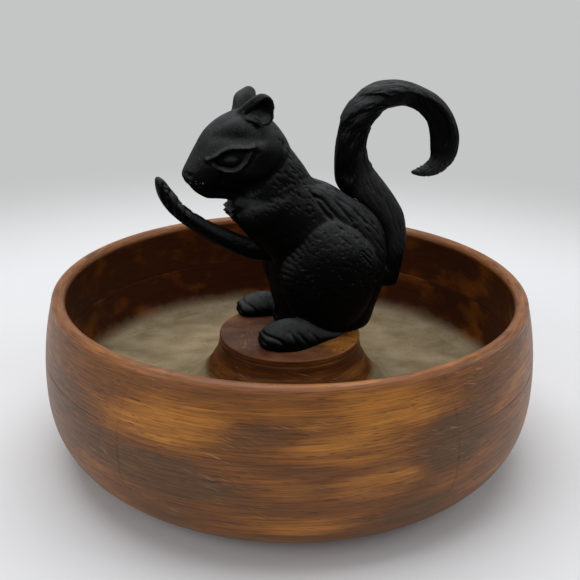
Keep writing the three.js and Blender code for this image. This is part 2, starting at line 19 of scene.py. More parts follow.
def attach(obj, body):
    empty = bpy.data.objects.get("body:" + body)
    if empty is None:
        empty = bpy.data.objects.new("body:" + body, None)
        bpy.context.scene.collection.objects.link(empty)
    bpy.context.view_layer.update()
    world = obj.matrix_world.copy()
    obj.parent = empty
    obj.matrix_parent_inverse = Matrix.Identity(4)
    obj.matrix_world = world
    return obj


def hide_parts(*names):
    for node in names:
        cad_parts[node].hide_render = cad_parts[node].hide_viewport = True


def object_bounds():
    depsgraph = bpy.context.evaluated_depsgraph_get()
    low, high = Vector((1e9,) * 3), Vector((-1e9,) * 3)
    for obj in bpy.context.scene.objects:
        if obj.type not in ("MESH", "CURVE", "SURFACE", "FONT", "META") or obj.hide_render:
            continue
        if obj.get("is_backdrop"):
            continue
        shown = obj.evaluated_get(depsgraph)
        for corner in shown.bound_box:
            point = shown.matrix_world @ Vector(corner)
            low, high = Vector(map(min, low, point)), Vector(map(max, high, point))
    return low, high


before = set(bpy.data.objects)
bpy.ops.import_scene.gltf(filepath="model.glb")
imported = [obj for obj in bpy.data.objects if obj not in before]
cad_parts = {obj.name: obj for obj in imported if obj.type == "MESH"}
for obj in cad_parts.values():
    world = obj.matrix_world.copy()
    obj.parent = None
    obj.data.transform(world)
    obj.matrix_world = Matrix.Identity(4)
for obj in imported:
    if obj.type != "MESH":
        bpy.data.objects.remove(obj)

LOG = logging.getLogger("nutcracker")
MM = 0.001
TURN = 2 * math.pi
# The casting: its middle plane, the height it stands at, its pivot, how far the lever closes, and
# the radius of the pin's bore.
MIDDLE = 9.0
STAND = 61.0
PIVOT = (46.0, MIDDLE, 90.0)
CLOSING_DEGREES = 5.0
PIN_BORE = 2.75
# What a screw's hole adds to its shank's radius.
CLEARANCE = 0.25
# How far a board's corner bends at least, in degrees.
FLAT_CORNER = 40.0
PRESS_BODY = "press_body"
LEVER_BODY = "lever"

Rows = np.ndarray
Points = np.ndarray
Place = tuple[float, float, float]
Piece = bpy.types.Object
Mesh = bpy.types.Mesh
Material = bpy.types.Material
Socket = bpy.types.NodeSocket


class Side(Enum):
    """The two halves of the casting, by the side of the middle plane that they lie on."""

    NEAR = -1
    FAR = 1


class Solver(Enum):
    """How one closed surface is cut by another."""

    CUT = "DIFFERENCE"
    KEEP = "INTERSECT"
    JOIN = "UNION"


# Surfaces worked out as arrays.


@dataclass
class Shell:
    """A closed surface: points in millimetres, and its faces as arrays of corner numbers."""

    points: Points
    faces: list[np.ndarray]

    def moved(self, offset: Place) -> Shell:
        """The same surface, shifted by the offset."""
        return Shell(self.points + np.asarray(offset, float), self.faces)

    def outward(self) -> Shell:
        """The same surface with its faces turned outwards, judged by the volume they enclose.

        The volume is the sum over the triangles of each face's fan of a . (b x c) / 6.

        Returns:
            The surface, turned round if its volume came out negative.
        """
        volume = 0.0
        for face in self.faces:
            corner = self.points[face]
            for i in range(1, face.shape[1] - 1):
                normal = np.cross(corner[:, i], corner[:, i + 1])
                volume += float((corner[:, 0] * normal).sum())
        faces = self.faces if volume > 0 else [face[:, ::-1] for face in self.faces]
        return Shell(self.points, faces)

    def with_others(self, others: list[Shell]) -> Shell:
        """One surface that holds this one and the others side by side.

        Args:
            others: The surfaces to add.

        Returns:
            The points of all in a row, with the corner numbers counted on.
        """
        points, faces, start = [self.points], list(self.faces), len(self.points)
        for other in others:
            points.append(other.points)
            faces.extend(face + start for face in other.faces)
            start += len(other.points)
        return Shell(np.vstack(points), faces)


def grid_faces(rows: int, columns: int, wrap: bool = True) -> np.ndarray:
    """Quads of a grid whose points are stored row by row.

    Args:
        rows: How many rows of points there are.
        columns: How many points a row has.
        wrap: Whether the last point of a row meets its first.

    Returns:
        One row of four corner numbers a quad: a point, the next in its row, and the two above.
    """
    row = np.arange(rows - 1)[:, None] * columns
    column = np.arange(columns if wrap else columns - 1)[None, :]
    after = (column + 1) % columns
    corners = [row + column, row + after, row + columns + after, row + columns + column]
    return np.stack(corners, axis=-1).reshape(-1, 4)


def smooth_rows(rows: Rows | list | tuple, count: int, trim: int = 0) -> Rows:
    """A smooth curve through given rows, by the Catmull-Rom formula.

    Between two rows each value follows the cubic whose slope at a row is half the step between
    that row's two neighbours.

    Args:
        rows: The rows to pass through.
        count: How many evenly spaced rows are wanted.
        trim: How many steps at each end only shape the curve, as on a closed one.

    Returns:
        The rows of the finer table.
    """
    rows = np.asarray(rows, float)
    ends = np.vstack([2 * rows[0] - rows[1], rows, 2 * rows[-1] - rows[-2]])
    place = np.linspace(trim, len(rows) - 1 - trim, count)
    first = np.minimum(place.astype(int), len(rows) - 2)
    part = (place - first)[:, None]
    a, b, c, d = (ends[first + i] for i in range(4))
    cubic = (3 * b - a - 3 * c + d) * part**3
    return 0.5 * (2 * b + (c - a) * part + (2 * a - 5 * b + 4 * c - d) * part**2 + cubic)


def capped(rings: Points, ends: list[Points] | Points) -> Shell:
    """A closed skin over rings of points, with a fan to a middle point at each end.

    Args:
        rings: The points, ring by ring.
        ends: The middle points of the first and the last ring.

    Returns:
        The closed surface.
    """
    rows, sides = rings.shape[:2]
    start = np.arange(sides)
    after = (start + 1) % sides
    count, last = rows * sides, (rows - 1) * sides
    bottom = np.stack([np.full(sides, count), after, start], axis=1)
    top = np.stack([np.full(sides, count + 1), last + start, last + after], axis=1)
    return Shell(np.vstack([rings.reshape(-1, 3), *ends]), [grid_faces(rows, sides), bottom, top])


def loft(
    centres: Points, first: Points, second: Points, sides: int, swell: np.ndarray | None = None
) -> Shell:
    """A closed skin over elliptical rings.

    A point is its ring's centre, plus the first half-axis times the cosine of its angle, plus the
    second half-axis times the sine. Each end is closed to the middle of its ring.

    Args:
        centres: One centre a ring.
        first: One half-axis vector a ring.
        second: The other half-axis vector of each ring.
        sides: How many points a ring has.
        swell: A factor on the half-axes for each ring and angle, or None for plain ellipses.

    Returns:
        The closed surface.
    """
    angle = np.arange(sides) * TURN / sides
    spread = first[:, None] * np.cos(angle)[:, None] + second[:, None] * np.sin(angle)[:, None]
    if swell is not None:
        spread = spread * swell[:, :, None]
    return capped(centres[:, None] + spread, centres[[0, -1]])


def squared(sides: int, power: np.ndarray) -> np.ndarray:
    """How far superellipses stand out from ellipses, for each ring's power and at each angle.

    On |x / a|^p + |y / b|^p = 1 that is (|cos|^p + |sin|^p)^(-1 / p).

    Args:
        sides: How many points a ring has.
        power: The power p of each ring.

    Returns:
        One factor for each ring and angle.
    """
    angle = np.arange(sides)[None, :] * TURN / sides
    power = power[:, None]
    return (np.abs(np.cos(angle)) ** power + np.abs(np.sin(angle)) ** power) ** (-1 / power)


def round_axis(radius: np.ndarray, angle: np.ndarray, height: np.ndarray | float) -> Points:
    """Points about Z: (radius cos a, radius sin a, height)."""
    return np.stack(np.broadcast_arrays(radius * np.cos(angle), radius * np.sin(angle), height), axis=-1)


def square_to(centres: Points, half: np.ndarray) -> Points:
    """Half-axes of these lengths square to a spine, in the plane of X and Z.

    Args:
        centres: The spine's points.
        half: One length a point.

    Returns:
        One vector a point.
    """
    run = np.gradient(centres, axis=0)
    run /= np.linalg.norm(run, axis=1)[:, None]
    return np.stack([run[:, 2], 0 * run[:, 0], -run[:, 0]], axis=1) * half[:, None]


def upright(xs: np.ndarray, y: np.ndarray, zs: np.ndarray) -> Points:
    """Points from three arrays of coordinates."""
    return np.stack(np.broadcast_arrays(xs, y, zs), axis=1).astype(float)


def along(axis: int, sizes: np.ndarray) -> Points:
    """Vectors along one axis, one for each size.

    Args:
        axis: 0, 1 or 2 for X, Y or Z.
        sizes: The vectors' lengths.

    Returns:
        One row a vector.
    """
    vectors = np.zeros((len(sizes), 3))
    vectors[:, axis] = sizes
    return vectors


def smooth_step(low: float, high: float, values: np.ndarray) -> np.ndarray:
    """0 below low, 1 above high, and the cubic 3t^2 - 2t^3 between them."""
    t = np.clip((values - low) / (high - low), 0, 1)
    return t * t * (3 - 2 * t)


def bell(values: np.ndarray, width: float) -> np.ndarray:
    """The bell curve exp(-(v / width)^2)."""
    return np.exp(-((values / width) ** 2))


def spot(x: np.ndarray, z: np.ndarray, at: tuple[float, float], half: tuple[float, float]) -> np.ndarray:
    """A bell over an ellipse: 1 at its middle and 1 / e on its outline."""
    return bell(np.hypot((x - at[0]) / half[0], (z - at[1]) / half[1]), 1.0)


def track_distance(u: np.ndarray, v: np.ndarray, track: list[tuple[float, float]]) -> np.ndarray:
    """The distance of each (u, v) from a smooth curve through a few points.

    Args:
        u: First coordinates.
        v: Second coordinates.
        track: The points that the curve passes through.

    Returns:
        The distance to the nearest of 40 points along the curve.
    """
    curve = smooth_rows(track, 40)
    gaps = np.full(u.shape, np.inf)
    for point in curve:
        gaps = np.minimum(gaps, np.hypot(u - point[0], v - point[1]))
    return gaps


# Meshes and modifiers.


def put_in(name: str, shell: Shell) -> Piece:
    """A mesh object from a surface, smooth shaded, with its place in its mesh.

    Args:
        name: The piece's name.
        shell: The surface, in millimetres.

    Returns:
        The new object, linked to the scene.
    """
    mesh = bpy.data.meshes.new(name)
    faces = [face for block in shell.faces for face in block.tolist()]
    mesh.from_pydata(shell.points * MM, [], faces)
    mesh.shade_smooth()
    piece = bpy.data.objects.new(name, mesh)
    bpy.context.scene.collection.objects.link(piece)
    return piece


def apply_modifier(piece: Piece, kind: str, **settings: object) -> None:
    """Adds one modifier with its settings and makes its result the piece's mesh.

    Args:
        piece: The object.
        kind: The modifier's type.
        settings: Its settings by name.
    """
    modifier = piece.modifiers.new(kind, kind)
    for field, value in settings.items():
        setattr(modifier, field, value)
    graph = bpy.context.evaluated_depsgraph_get()
    mesh = bpy.data.meshes.new_from_object(piece.evaluated_get(graph))
    old = piece.data
    piece.modifiers.clear()
    piece.data = mesh
    bpy.data.meshes.remove(old)
    mesh.name = piece.name


def sharpen(piece: Piece, degrees: float) -> None:
    """Shades a piece smooth but for its edges that bend more than this."""
    piece.data.shade_smooth()
    piece.data.set_sharp_from_angle(angle=math.radians(degrees))


def combine(piece: Piece, tool: Shell, solver: Solver) -> None:
    """Cuts, joins or trims a piece with another closed surface.

    Args:
        piece: The object that is changed.
        tool: The surface that it meets.
        solver: What is kept of the two.
    """
    other = put_in("tool", tool)
    apply_modifier(piece, "BOOLEAN", operation=solver.value, object=other, solver="MANIFOLD")
    mesh = other.data
    bpy.data.objects.remove(other)
    bpy.data.meshes.remove(mesh)


def get_points(mesh: Mesh) -> Points:
    """The mesh's points in millimetres."""
    flat = np.empty(len(mesh.vertices) * 3)
    mesh.vertices.foreach_get("co", flat)
    return flat.reshape(-1, 3) / MM


def set_points(mesh: Mesh, points: Points) -> None:
    """Moves the mesh's points to these places, in millimetres."""
    mesh.vertices.foreach_set("co", (points * MM).ravel())
    mesh.update()


def get_normals(mesh: Mesh) -> Points:
    """One unit vector a point, square to the surface."""
    flat = np.empty(len(mesh.vertices) * 3)
    mesh.vertex_normals.foreach_get("vector", flat)
    return flat.reshape(-1, 3)


def relax(mesh: Mesh, rounds: int) -> None:
    """Takes the steps out of a remeshed surface without shrinking it.

    Each round moves every point towards the mean of its neighbours by 0.5 of the way, and then
    away from it by 0.52 of the way.

    Args:
        mesh: The mesh that is moved.
        rounds: How many rounds there are.
    """
    flat = np.empty(len(mesh.edges) * 2, np.int32)
    mesh.edges.foreach_get("vertices", flat)
    ends = flat.reshape(-1, 2)
    points = get_points(mesh)
    count = len(points)
    weight = np.maximum(np.bincount(ends.ravel(), minlength=count), 1)[:, None]
    for share in (0.5, -0.52) * rounds:
        totals = [
            np.bincount(ends[:, 0], points[ends[:, 1], axis], count)
            + np.bincount(ends[:, 1], points[ends[:, 0], axis], count)
            for axis in range(3)
        ]
        points = points + share * (np.stack(totals, axis=1) / weight - points)
    set_points(mesh, points)


def fuse(name: str, shells: list[Shell], voxel: float, rounds: int) -> Piece:
    """One even surface over closed shells that run into each other.

    Args:
        name: The piece's name.
        shells: The closed surfaces.
        voxel: The size of the even mesh, in millimetres.
        rounds: How many rounds of smoothing follow.

    Returns:
        The fused object.
    """
    piece = put_in(name, shells[0].with_others(shells[1:]))
    apply_modifier(piece, "REMESH", mode="VOXEL", voxel_size=voxel * MM)
    relax(piece.data, rounds)
    piece.data.shade_smooth()
    return piece


def box_shell(low: Place, high: Place) -> Shell:
    """A closed box between two corners, to trim with.

    Args:
        low: The corner with the smallest coordinates.
        high: The corner across from it.

    Returns:
        The box.
    """
    corner = np.array([(i & 1, i >> 1 & 1, i >> 2 & 1) for i in range(8)], float)
    points = np.asarray(low) + corner * (np.asarray(high, float) - np.asarray(low))
    faces = np.array([[0, 2, 3, 1], [4, 5, 7, 6], [0, 1, 5, 4], [2, 6, 7, 3], [0, 4, 6, 2], [1, 3, 7, 5]])
    return Shell(points, [faces])


def lathe(profile: list[tuple[float, float]], sides: int) -> Shell:
    """A closed surface of revolution about Z.

    The profile is (radius, height) points, anticlockwise, from the axis back to the axis. A point
    is (radius cos a, radius sin a, height).

    Args:
        profile: The outline, without its two points on the axis.
        sides: How many points go round.

    Returns:
        The closed surface, with a fan at each end.
    """
    rows = np.asarray(profile, float)
    centres = along(2, rows[:, 1])
    return loft(centres, along(0, rows[:, 0]), along(1, rows[:, 0]), sides)


def laid_across(shell: Shell, x: float, y: float, z: float) -> Shell:
    """A surface turned about Z, laid along Y with its base at (x, y, z).

    Args:
        shell: The surface, whose Z becomes Y.
        x: Where its axis lies.
        y: Where its base lies.
        z: How high its axis is.

    Returns:
        The turned surface.
    """
    points = shell.points
    turned = np.stack([points[:, 0], points[:, 2], -points[:, 1]], axis=1)
    return Shell(turned + np.array([x, y, z]), shell.faces)


# Finishes.


def srgb(code: int) -> tuple[float, float, float, float]:
    """The linear colour of an sRGB hex value such as 0x7A4A20.

    Args:
        code: The colour as 0xRRGGBB.

    Returns:
        Red, green and blue, and an alpha of 1.
    """
    parts = [(code >> shift & 255) / 255 for shift in (16, 8, 0)]
    linear = [part / 12.92 if part <= 0.04045 else ((part + 0.055) / 1.055) ** 2.4 for part in parts]
    return (*linear, 1.0)


@dataclass(frozen=True)
class Graph:
    """A node tree that is being built."""

    tree: bpy.types.NodeTree

    def add(
        self, kind: str, inputs: dict | None = None, out: int | str = 0, **fields: object
    ) -> Socket | None:
        """Adds a node with its settings and links.

        Args:
            kind: The node's type, without the leading ShaderNode.
            inputs: For each input, by name or number, its value or the socket that feeds it.
            out: The output that is wanted, by name or number.
            fields: The node's own settings.

        Returns:
            The output, or None for a node that has none.
        """
        node = self.tree.nodes.new(f"ShaderNode{kind}")
        for field, value in fields.items():
            setattr(node, field, value)
        for key, value in (inputs or {}).items():
            if isinstance(value, Socket):
                self.tree.links.new(value, node.inputs[key])
            else:
                node.inputs[key].default_value = value
        return node.outputs[out] if node.outputs else None


@dataclass(frozen=True)
class Finish:
    """What every finish shares: its name, a blank tree, and the shader that its graph ends in."""

    name: str

    def blank(self) -> tuple[Material, Graph, Socket]:
        """A new material, its empty graph, and the object coordinates that its patterns lie in.

        Returns:
            The material, its graph and the coordinates' socket.
        """
        material = bpy.data.materials.new(self.name)
        material.use_nodes = True
        material.node_tree.nodes.clear()
        graph = Graph(material.node_tree)
        return material, graph, graph.add("TexCoord", out="Object")

    def close(self, graph: Graph, inputs: dict) -> None:
        """Ends the graph in a Principled shader with these inputs."""
        graph.add("OutputMaterial", {"Surface": graph.add("BsdfPrincipled", inputs)})


@dataclass(frozen=True)
class BlackEnamelledIron(Finish):
    """Cast iron under flat black paint: a sandy skin with next to no colour.

    Painted light: what faces up is painted a lighter grey, in patches, as where the top lamp
    falls, while sides and undersides stay black. A point attribute paints highlights where it is
    above 0 and shade where it is below 0, and another paints pale glints as specks.
    """

    black: int = 0x030303
    # Painted top light: the grey that up-facing faces are painted.
    top_light: int = 0x464748
    # Painted glints: the pale specks on the painted top light.
    glint_grey: int = 0x6E7070
    # Painted glints: the pale specks on the nose.
    bare_and_glint: int = 0x8A8A88
    grit: float = 0.8
    speck: float = 1.1
    blotch: float = 7.0
    gloss: float = 0.04

    def make(self) -> Material:
        """The material: paint that the sand of the mould shows through."""
        material, graph, place = self.blank()
        add = graph.add
        grit = add(
            "TexNoise", {"Vector": place, "Scale": 1 / (self.grit * MM), "Detail": 3.0, "Roughness": 0.65}
        )
        cloud = add("TexNoise", {"Vector": place, "Scale": 1 / (self.blotch * MM), "Detail": 4.0})
        specks = add("TexNoise", {"Vector": place, "Scale": 1 / (self.speck * MM), "Detail": 2.0})
        # Painted top light: faces that point up are painted lighter, in patches.
        height = add("SeparateXYZ", {0: add("NewGeometry", out="Normal")}, "Z")
        grain = add("Math", {0: grit, 1: 0.7, 2: height}, operation="MULTIPLY_ADD")
        lying = add("MapRange", {0: grain, 1: 0.5, 2: 1.34})
        patchy = add("MapRange", {0: cloud, 1: 0.3, 2: 0.7, 3: 0.55, 4: 1.0})
        top_lit = add("Math", {0: lying, 1: patchy}, operation="MULTIPLY")
        # Painted highlights where the attribute is above 0, and painted shade where it is below 0.
        painted_light = add("Attribute", out="Fac", attribute_name="rub_and_painted_light")
        grit_share = add("MapRange", {0: grit, 1: 0.3, 2: 0.7, 3: 0.4, 4: 1.0})
        top_lit = add("Math", {0: painted_light, 1: grit_share, 2: top_lit}, operation="MULTIPLY_ADD", use_clamp=True)
        # Painted glints: pale specks where the top light is painted.
        glints = add("MapRange", {0: specks, 1: 0.62, 2: 0.74, 4: 0.5})
        glints = add("Math", {0: glints, 1: top_lit}, operation="MULTIPLY")
        # Painted glints on the nose, where the attribute says.
        glint_specks = add("MapRange", {0: specks, 1: 0.63, 2: 0.7})
        nose_glints = add("Attribute", out="Fac", attribute_name="nose_glint_spots")
        glint_specks = add("Math", {0: glint_specks, 1: nose_glints}, operation="MULTIPLY")
        colour = srgb(self.black)
        for part, over in ((top_lit, self.top_light), (glints, self.glint_grey), (glint_specks, self.bare_and_glint)):
            colour = add("Mix", {0: part, 6: colour, 7: srgb(over)}, 2, data_type="RGBA")
        dull = add("MapRange", {0: cloud, 1: 0.3, 2: 0.7, 3: 0.42, 4: 0.56})
        bump = add("Bump", {"Height": grit, "Strength": 0.8, "Distance": 0.4 * MM})
        inputs = {"Base Color": colour, "Roughness": dull, "Normal": bump, "Specular IOR Level": self.gloss}
        self.close(graph, inputs)
        return material


@dataclass(frozen=True)
class StainedHardwood(Finish):
    """Hardwood wiped with a walnut stain under worn satin lacquer.

    The stain lies in clouds from amber to dark brown, and the fibres show as fine level streaks
    with dark pores. The lacquer is a coat on the outside, which turns pale towards the outline.
    The attributes tone, lip and inner say where a piece is stained or worn, and floor where a
    pale reflection is painted on it.
    """

    light: int = 0xA66A26
    warm: int = 0x744419
    dark: int = 0x593B1F
    scratch: int = 0xB48C5C
    pore: int = 0x20110A
    lip: int = 0x80502F
    inside: int = 0x3A1702
    inside_glow: int = 0x7C400A
    # Painted reflection: the floor's pale greyish tan and its darker mottle.
    floor: int = 0x988A6E
    floor_dark: int = 0x7C6C52
    turn_degrees: float = 20.0
    tilt_degrees: float = 1.2
    scratch_degrees: float = -17.0
    shift: Place = (0.0, 0.0, 0.0)
    gloss: float = 0.4
    lacquer: float = 0.34

    def make(self) -> Material:
        """The material, from the grain up to the lacquer."""
        material, graph, place = self.blank()
        turn = (0.0, math.radians(self.tilt_degrees), math.radians(self.turn_degrees))
        offset = tuple(value * MM for value in self.shift)
        board = graph.add("Mapping", {"Vector": place, "Rotation": turn, "Location": offset})
        fibres = self.stretched(graph, board, (26.0, 11.0, 0.5), 3.0)
        wall = graph.add("Attribute", out="Fac", attribute_name="inner")
        colour = self.scratched(graph, board, self.stained(graph, board, fibres))
        colour = self.rubbed_lip(graph, board, fibres, colour)
        dark = self.dark_wall(graph, board, fibres)
        colour = graph.add("Mix", {0: wall, 6: colour, 7: dark}, 2, data_type="RGBA")
        # Painted reflection on the floor, over the wood's colour.
        colour = self.painted_floor_reflection(graph, board, colour)
        rough = graph.add("MapRange", {0: fibres, 1: 0.3, 2: 0.7, 3: self.gloss, 4: self.gloss + 0.16})
        coat = graph.add("Math", {0: wall, 1: -self.lacquer, 2: self.lacquer}, operation="MULTIPLY_ADD")
        bump = graph.add("Bump", {"Height": fibres, "Strength": 0.16, "Distance": 0.15 * MM})
        inputs = {"Base Color": colour, "Roughness": rough, "Normal": bump, "Coat Weight": coat}
        self.close(graph, inputs | {"Coat Roughness": 0.34, "Specular IOR Level": 0.13})
        return material

    def stretched(self, graph: Graph, board: Socket, size: Place, detail: float) -> Socket:
        """Noise whose grains have this size along the fibre, across it and up, in millimetres."""
        scaled = graph.add("Mapping", {"Vector": board, "Scale": tuple(1 / (value * MM) for value in size)})
        return graph.add("TexNoise", {"Vector": scaled, "Scale": 1.0, "Detail": detail})

    def stained(self, graph: Graph, board: Socket, fibres: Socket) -> Socket:
        """The stained wood's colour: clouds of stain, streaks, fibres and pores.

        Args:
            graph: The material's graph.
            board: The coordinates along the board, across it and up.
            fibres: The noise of the fibres.

        Returns:
            The colour's socket.
        """
        add = graph.add
        clouds = self.stretched(graph, board, (50.0, 32.0, 11.0), 4.0)
        streaks = self.stretched(graph, board, (60.0, 22.0, 1.7), 4.0)
        pores = self.stretched(graph, board, (9.0, 4.0, 0.42), 1.0)
        tone = add("Attribute", out="Fac", attribute_name="tone")
        level = add("Math", {0: clouds, 1: 0.4}, operation="MULTIPLY")
        level = add("Math", {0: tone, 1: 0.14, 2: level}, operation="MULTIPLY_ADD")
        level = add("Math", {0: streaks, 1: 0.24, 2: level}, operation="MULTIPLY_ADD")
        low = add("MapRange", {0: level, 1: 0.16, 2: 0.32})
        high = add("MapRange", {0: level, 1: 0.32, 2: 0.49})
        base = add("Mix", {0: low, 6: srgb(self.dark), 7: srgb(self.warm)}, 2, data_type="RGBA")
        base = add("Mix", {0: high, 6: base, 7: srgb(self.light)}, 2, data_type="RGBA")
        fine = add("MapRange", {0: fibres, 1: 0.3, 2: 0.7, 3: 1.4, 4: 0.62})
        shade = add("VectorMath", {0: base, "Scale": fine}, operation="SCALE")
        pore = add("MapRange", {0: pores, 1: 0.62, 2: 0.7, 4: 0.6})
        return add("Mix", {0: pore, 6: shade, 7: srgb(self.pore)}, 2, data_type="RGBA")

    def scratched(self, graph: Graph, board: Socket, colour: Socket) -> Socket:
        """Fine pale scratches in the lacquer, which slant down across the fibres, in patches.

        Args:
            graph: The material's graph.
            board: The coordinates along the board, across it and up.
            colour: The colour so far.

        Returns:
            The colour's socket.
        """
        add = graph.add
        slant = (0.0, math.radians(self.scratch_degrees), 0.0)
        slanted = add("Mapping", {"Vector": board, "Rotation": slant})
        lines = self.stretched(graph, slanted, (11.0, 5.0, 0.4), 2.0)
        patches = self.stretched(graph, board, (30.0, 24.0, 16.0), 2.0)
        lines = add("MapRange", {0: lines, 1: 0.6, 2: 0.74, 4: 0.62})
        patches = add("MapRange", {0: patches, 1: 0.42, 2: 0.62})
        part = add("Math", {0: lines, 1: patches}, operation="MULTIPLY")
        return add("Mix", {0: part, 6: colour, 7: srgb(self.scratch)}, 2, data_type="RGBA")

    def rubbed_lip(self, graph: Graph, board: Socket, fibres: Socket, colour: Socket) -> Socket:
        """Hands have rubbed the edge down to reddish wood, in patches.

        Args:
            graph: The material's graph.
            board: The coordinates along the board, across it and up.
            fibres: The noise of the fibres.
            colour: The colour so far.

        Returns:
            The colour's socket.
        """
        add = graph.add
        mask = add("Attribute", out="Fac", attribute_name="lip")
        patches = self.stretched(graph, board, (15.0, 8.0, 0.9), 4.0)
        rub_and_painted_light = add("MapRange", {0: patches, 1: 0.32, 2: 0.66, 3: 0.1, 4: 1.0})
        part = add("Math", {0: mask, 1: rub_and_painted_light}, operation="MULTIPLY")
        fine = add("MapRange", {0: fibres, 1: 0.3, 2: 0.7, 3: 1.4, 4: 0.6})
        bare_and_glint = add("VectorMath", {0: srgb(self.lip)[:3], "Scale": fine}, operation="SCALE")
        return add("Mix", {0: part, 6: colour, 7: bare_and_glint}, 2, data_type="RGBA")

    def dark_wall(self, graph: Graph, board: Socket, fibres: Socket) -> Socket:
        """The inside wall's nearly black stain, with a few amber streaks left between.

        Args:
            graph: The material's graph.
            board: The coordinates along the board, across it and up.
            fibres: The noise of the fibres.

        Returns:
            The colour's socket.
        """
        add = graph.add
        glow = add("MapRange", {0: self.stretched(graph, board, (26.0, 20.0, 17.0), 4.0), 1: 0.5, 2: 0.78})
        wall = add("Mix", {0: glow, 6: srgb(self.inside), 7: srgb(self.inside_glow)}, 2, data_type="RGBA")
        fine = add("MapRange", {0: fibres, 1: 0.3, 2: 0.7, 3: 1.25, 4: 0.75})
        return add("VectorMath", {0: wall, "Scale": fine}, operation="SCALE")

    def painted_floor_reflection(self, graph: Graph, board: Socket, colour: Socket) -> Socket:
        """Paints the floor's reflection: a pale greyish tan, mottled, with dark specks.

        Args:
            graph: The material's graph.
            board: The coordinates along the board, across it and up.
            colour: The colour so far.

        Returns:
            The colour's socket.
        """
        add = graph.add
        mottle = self.stretched(graph, board, (17.0, 12.0, 12.0), 7.0)
        specks = self.stretched(graph, board, (1.5, 1.2, 1.2), 4.0)
        mask = add("Attribute", out="Fac", attribute_name="floor")
        part = add("MapRange", {0: mottle, 1: 0.34, 2: 0.68})
        grey = add("Mix", {0: part, 6: srgb(self.floor), 7: srgb(self.floor_dark)}, 2, data_type="RGBA")
        speck = add("MapRange", {0: specks, 1: 0.6, 2: 0.7, 4: 0.55})
        grey = add("Mix", {0: speck, 6: grey, 7: srgb(self.dark)}, 2, data_type="RGBA")
        ragged = add("Math", {0: mottle, 1: 0.5, 2: mask}, operation="MULTIPLY_ADD")
        edge = add("MapRange", {0: ragged, 1: 0.35, 2: 0.8})
        reached = add("MapRange", {0: mask, 1: 0.01, 2: 0.15})
        edge = add("Math", {0: edge, 1: reached}, operation="MULTIPLY")
        return add("Mix", {0: edge, 6: colour, 7: grey}, 2, data_type="RGBA")


@dataclass(frozen=True)
class ZincPlatedSteel(Finish):
    """Zinc-plated steel screw stock: bright grey metal with a faint blotch from the plating bath."""

    tint: int = 0x9A9C9E
    blotch: float = 1.6

    def make(self) -> Material:
        """The material: metal whose gloss varies with the plating."""
        material, graph, place = self.blank()
        cloud = graph.add("TexNoise", {"Vector": place, "Scale": 1 / (self.blotch * MM), "Detail": 3.0})
        dull = graph.add("MapRange", {0: cloud, 1: 0.3, 2: 0.7, 3: 0.28, 4: 0.5})
        self.close(graph, {"Base Color": srgb(self.tint), "Metallic": 1.0, "Roughness": dull})
        return material


def dress(piece: Piece, material: Material) -> None:
    """Gives a piece one material all over."""
    piece.data.materials.clear()
    piece.data.materials.append(material)


def settle(piece: Piece, body: str, slot: str, *nodes: str) -> None:
    """Makes a finished piece stand for its nodes and ride on its body.

    Args:
        piece: The finished object.
        body: The body it rides on.
        slot: The record's material slot, which is not used.
        nodes: The nodes it stands for; the first gives its name.
    """
    piece.name = piece.data.name = f"{nodes[0]}_detailed"
    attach(piece, body)
    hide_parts(*nodes)
    LOG.info("%s: %d faces, for %s", piece.name, len(piece.data.polygons), ", ".join(nodes))


def add_mask(piece: Piece, name: str, values: np.ndarray) -> None:
    """Stores one number a point, which the finish reads."""
    attribute = piece.data.attributes.new(name, "FLOAT", "POINT")
    attribute.data.foreach_set("value", values.astype(np.float32))


# The wooden bowl.


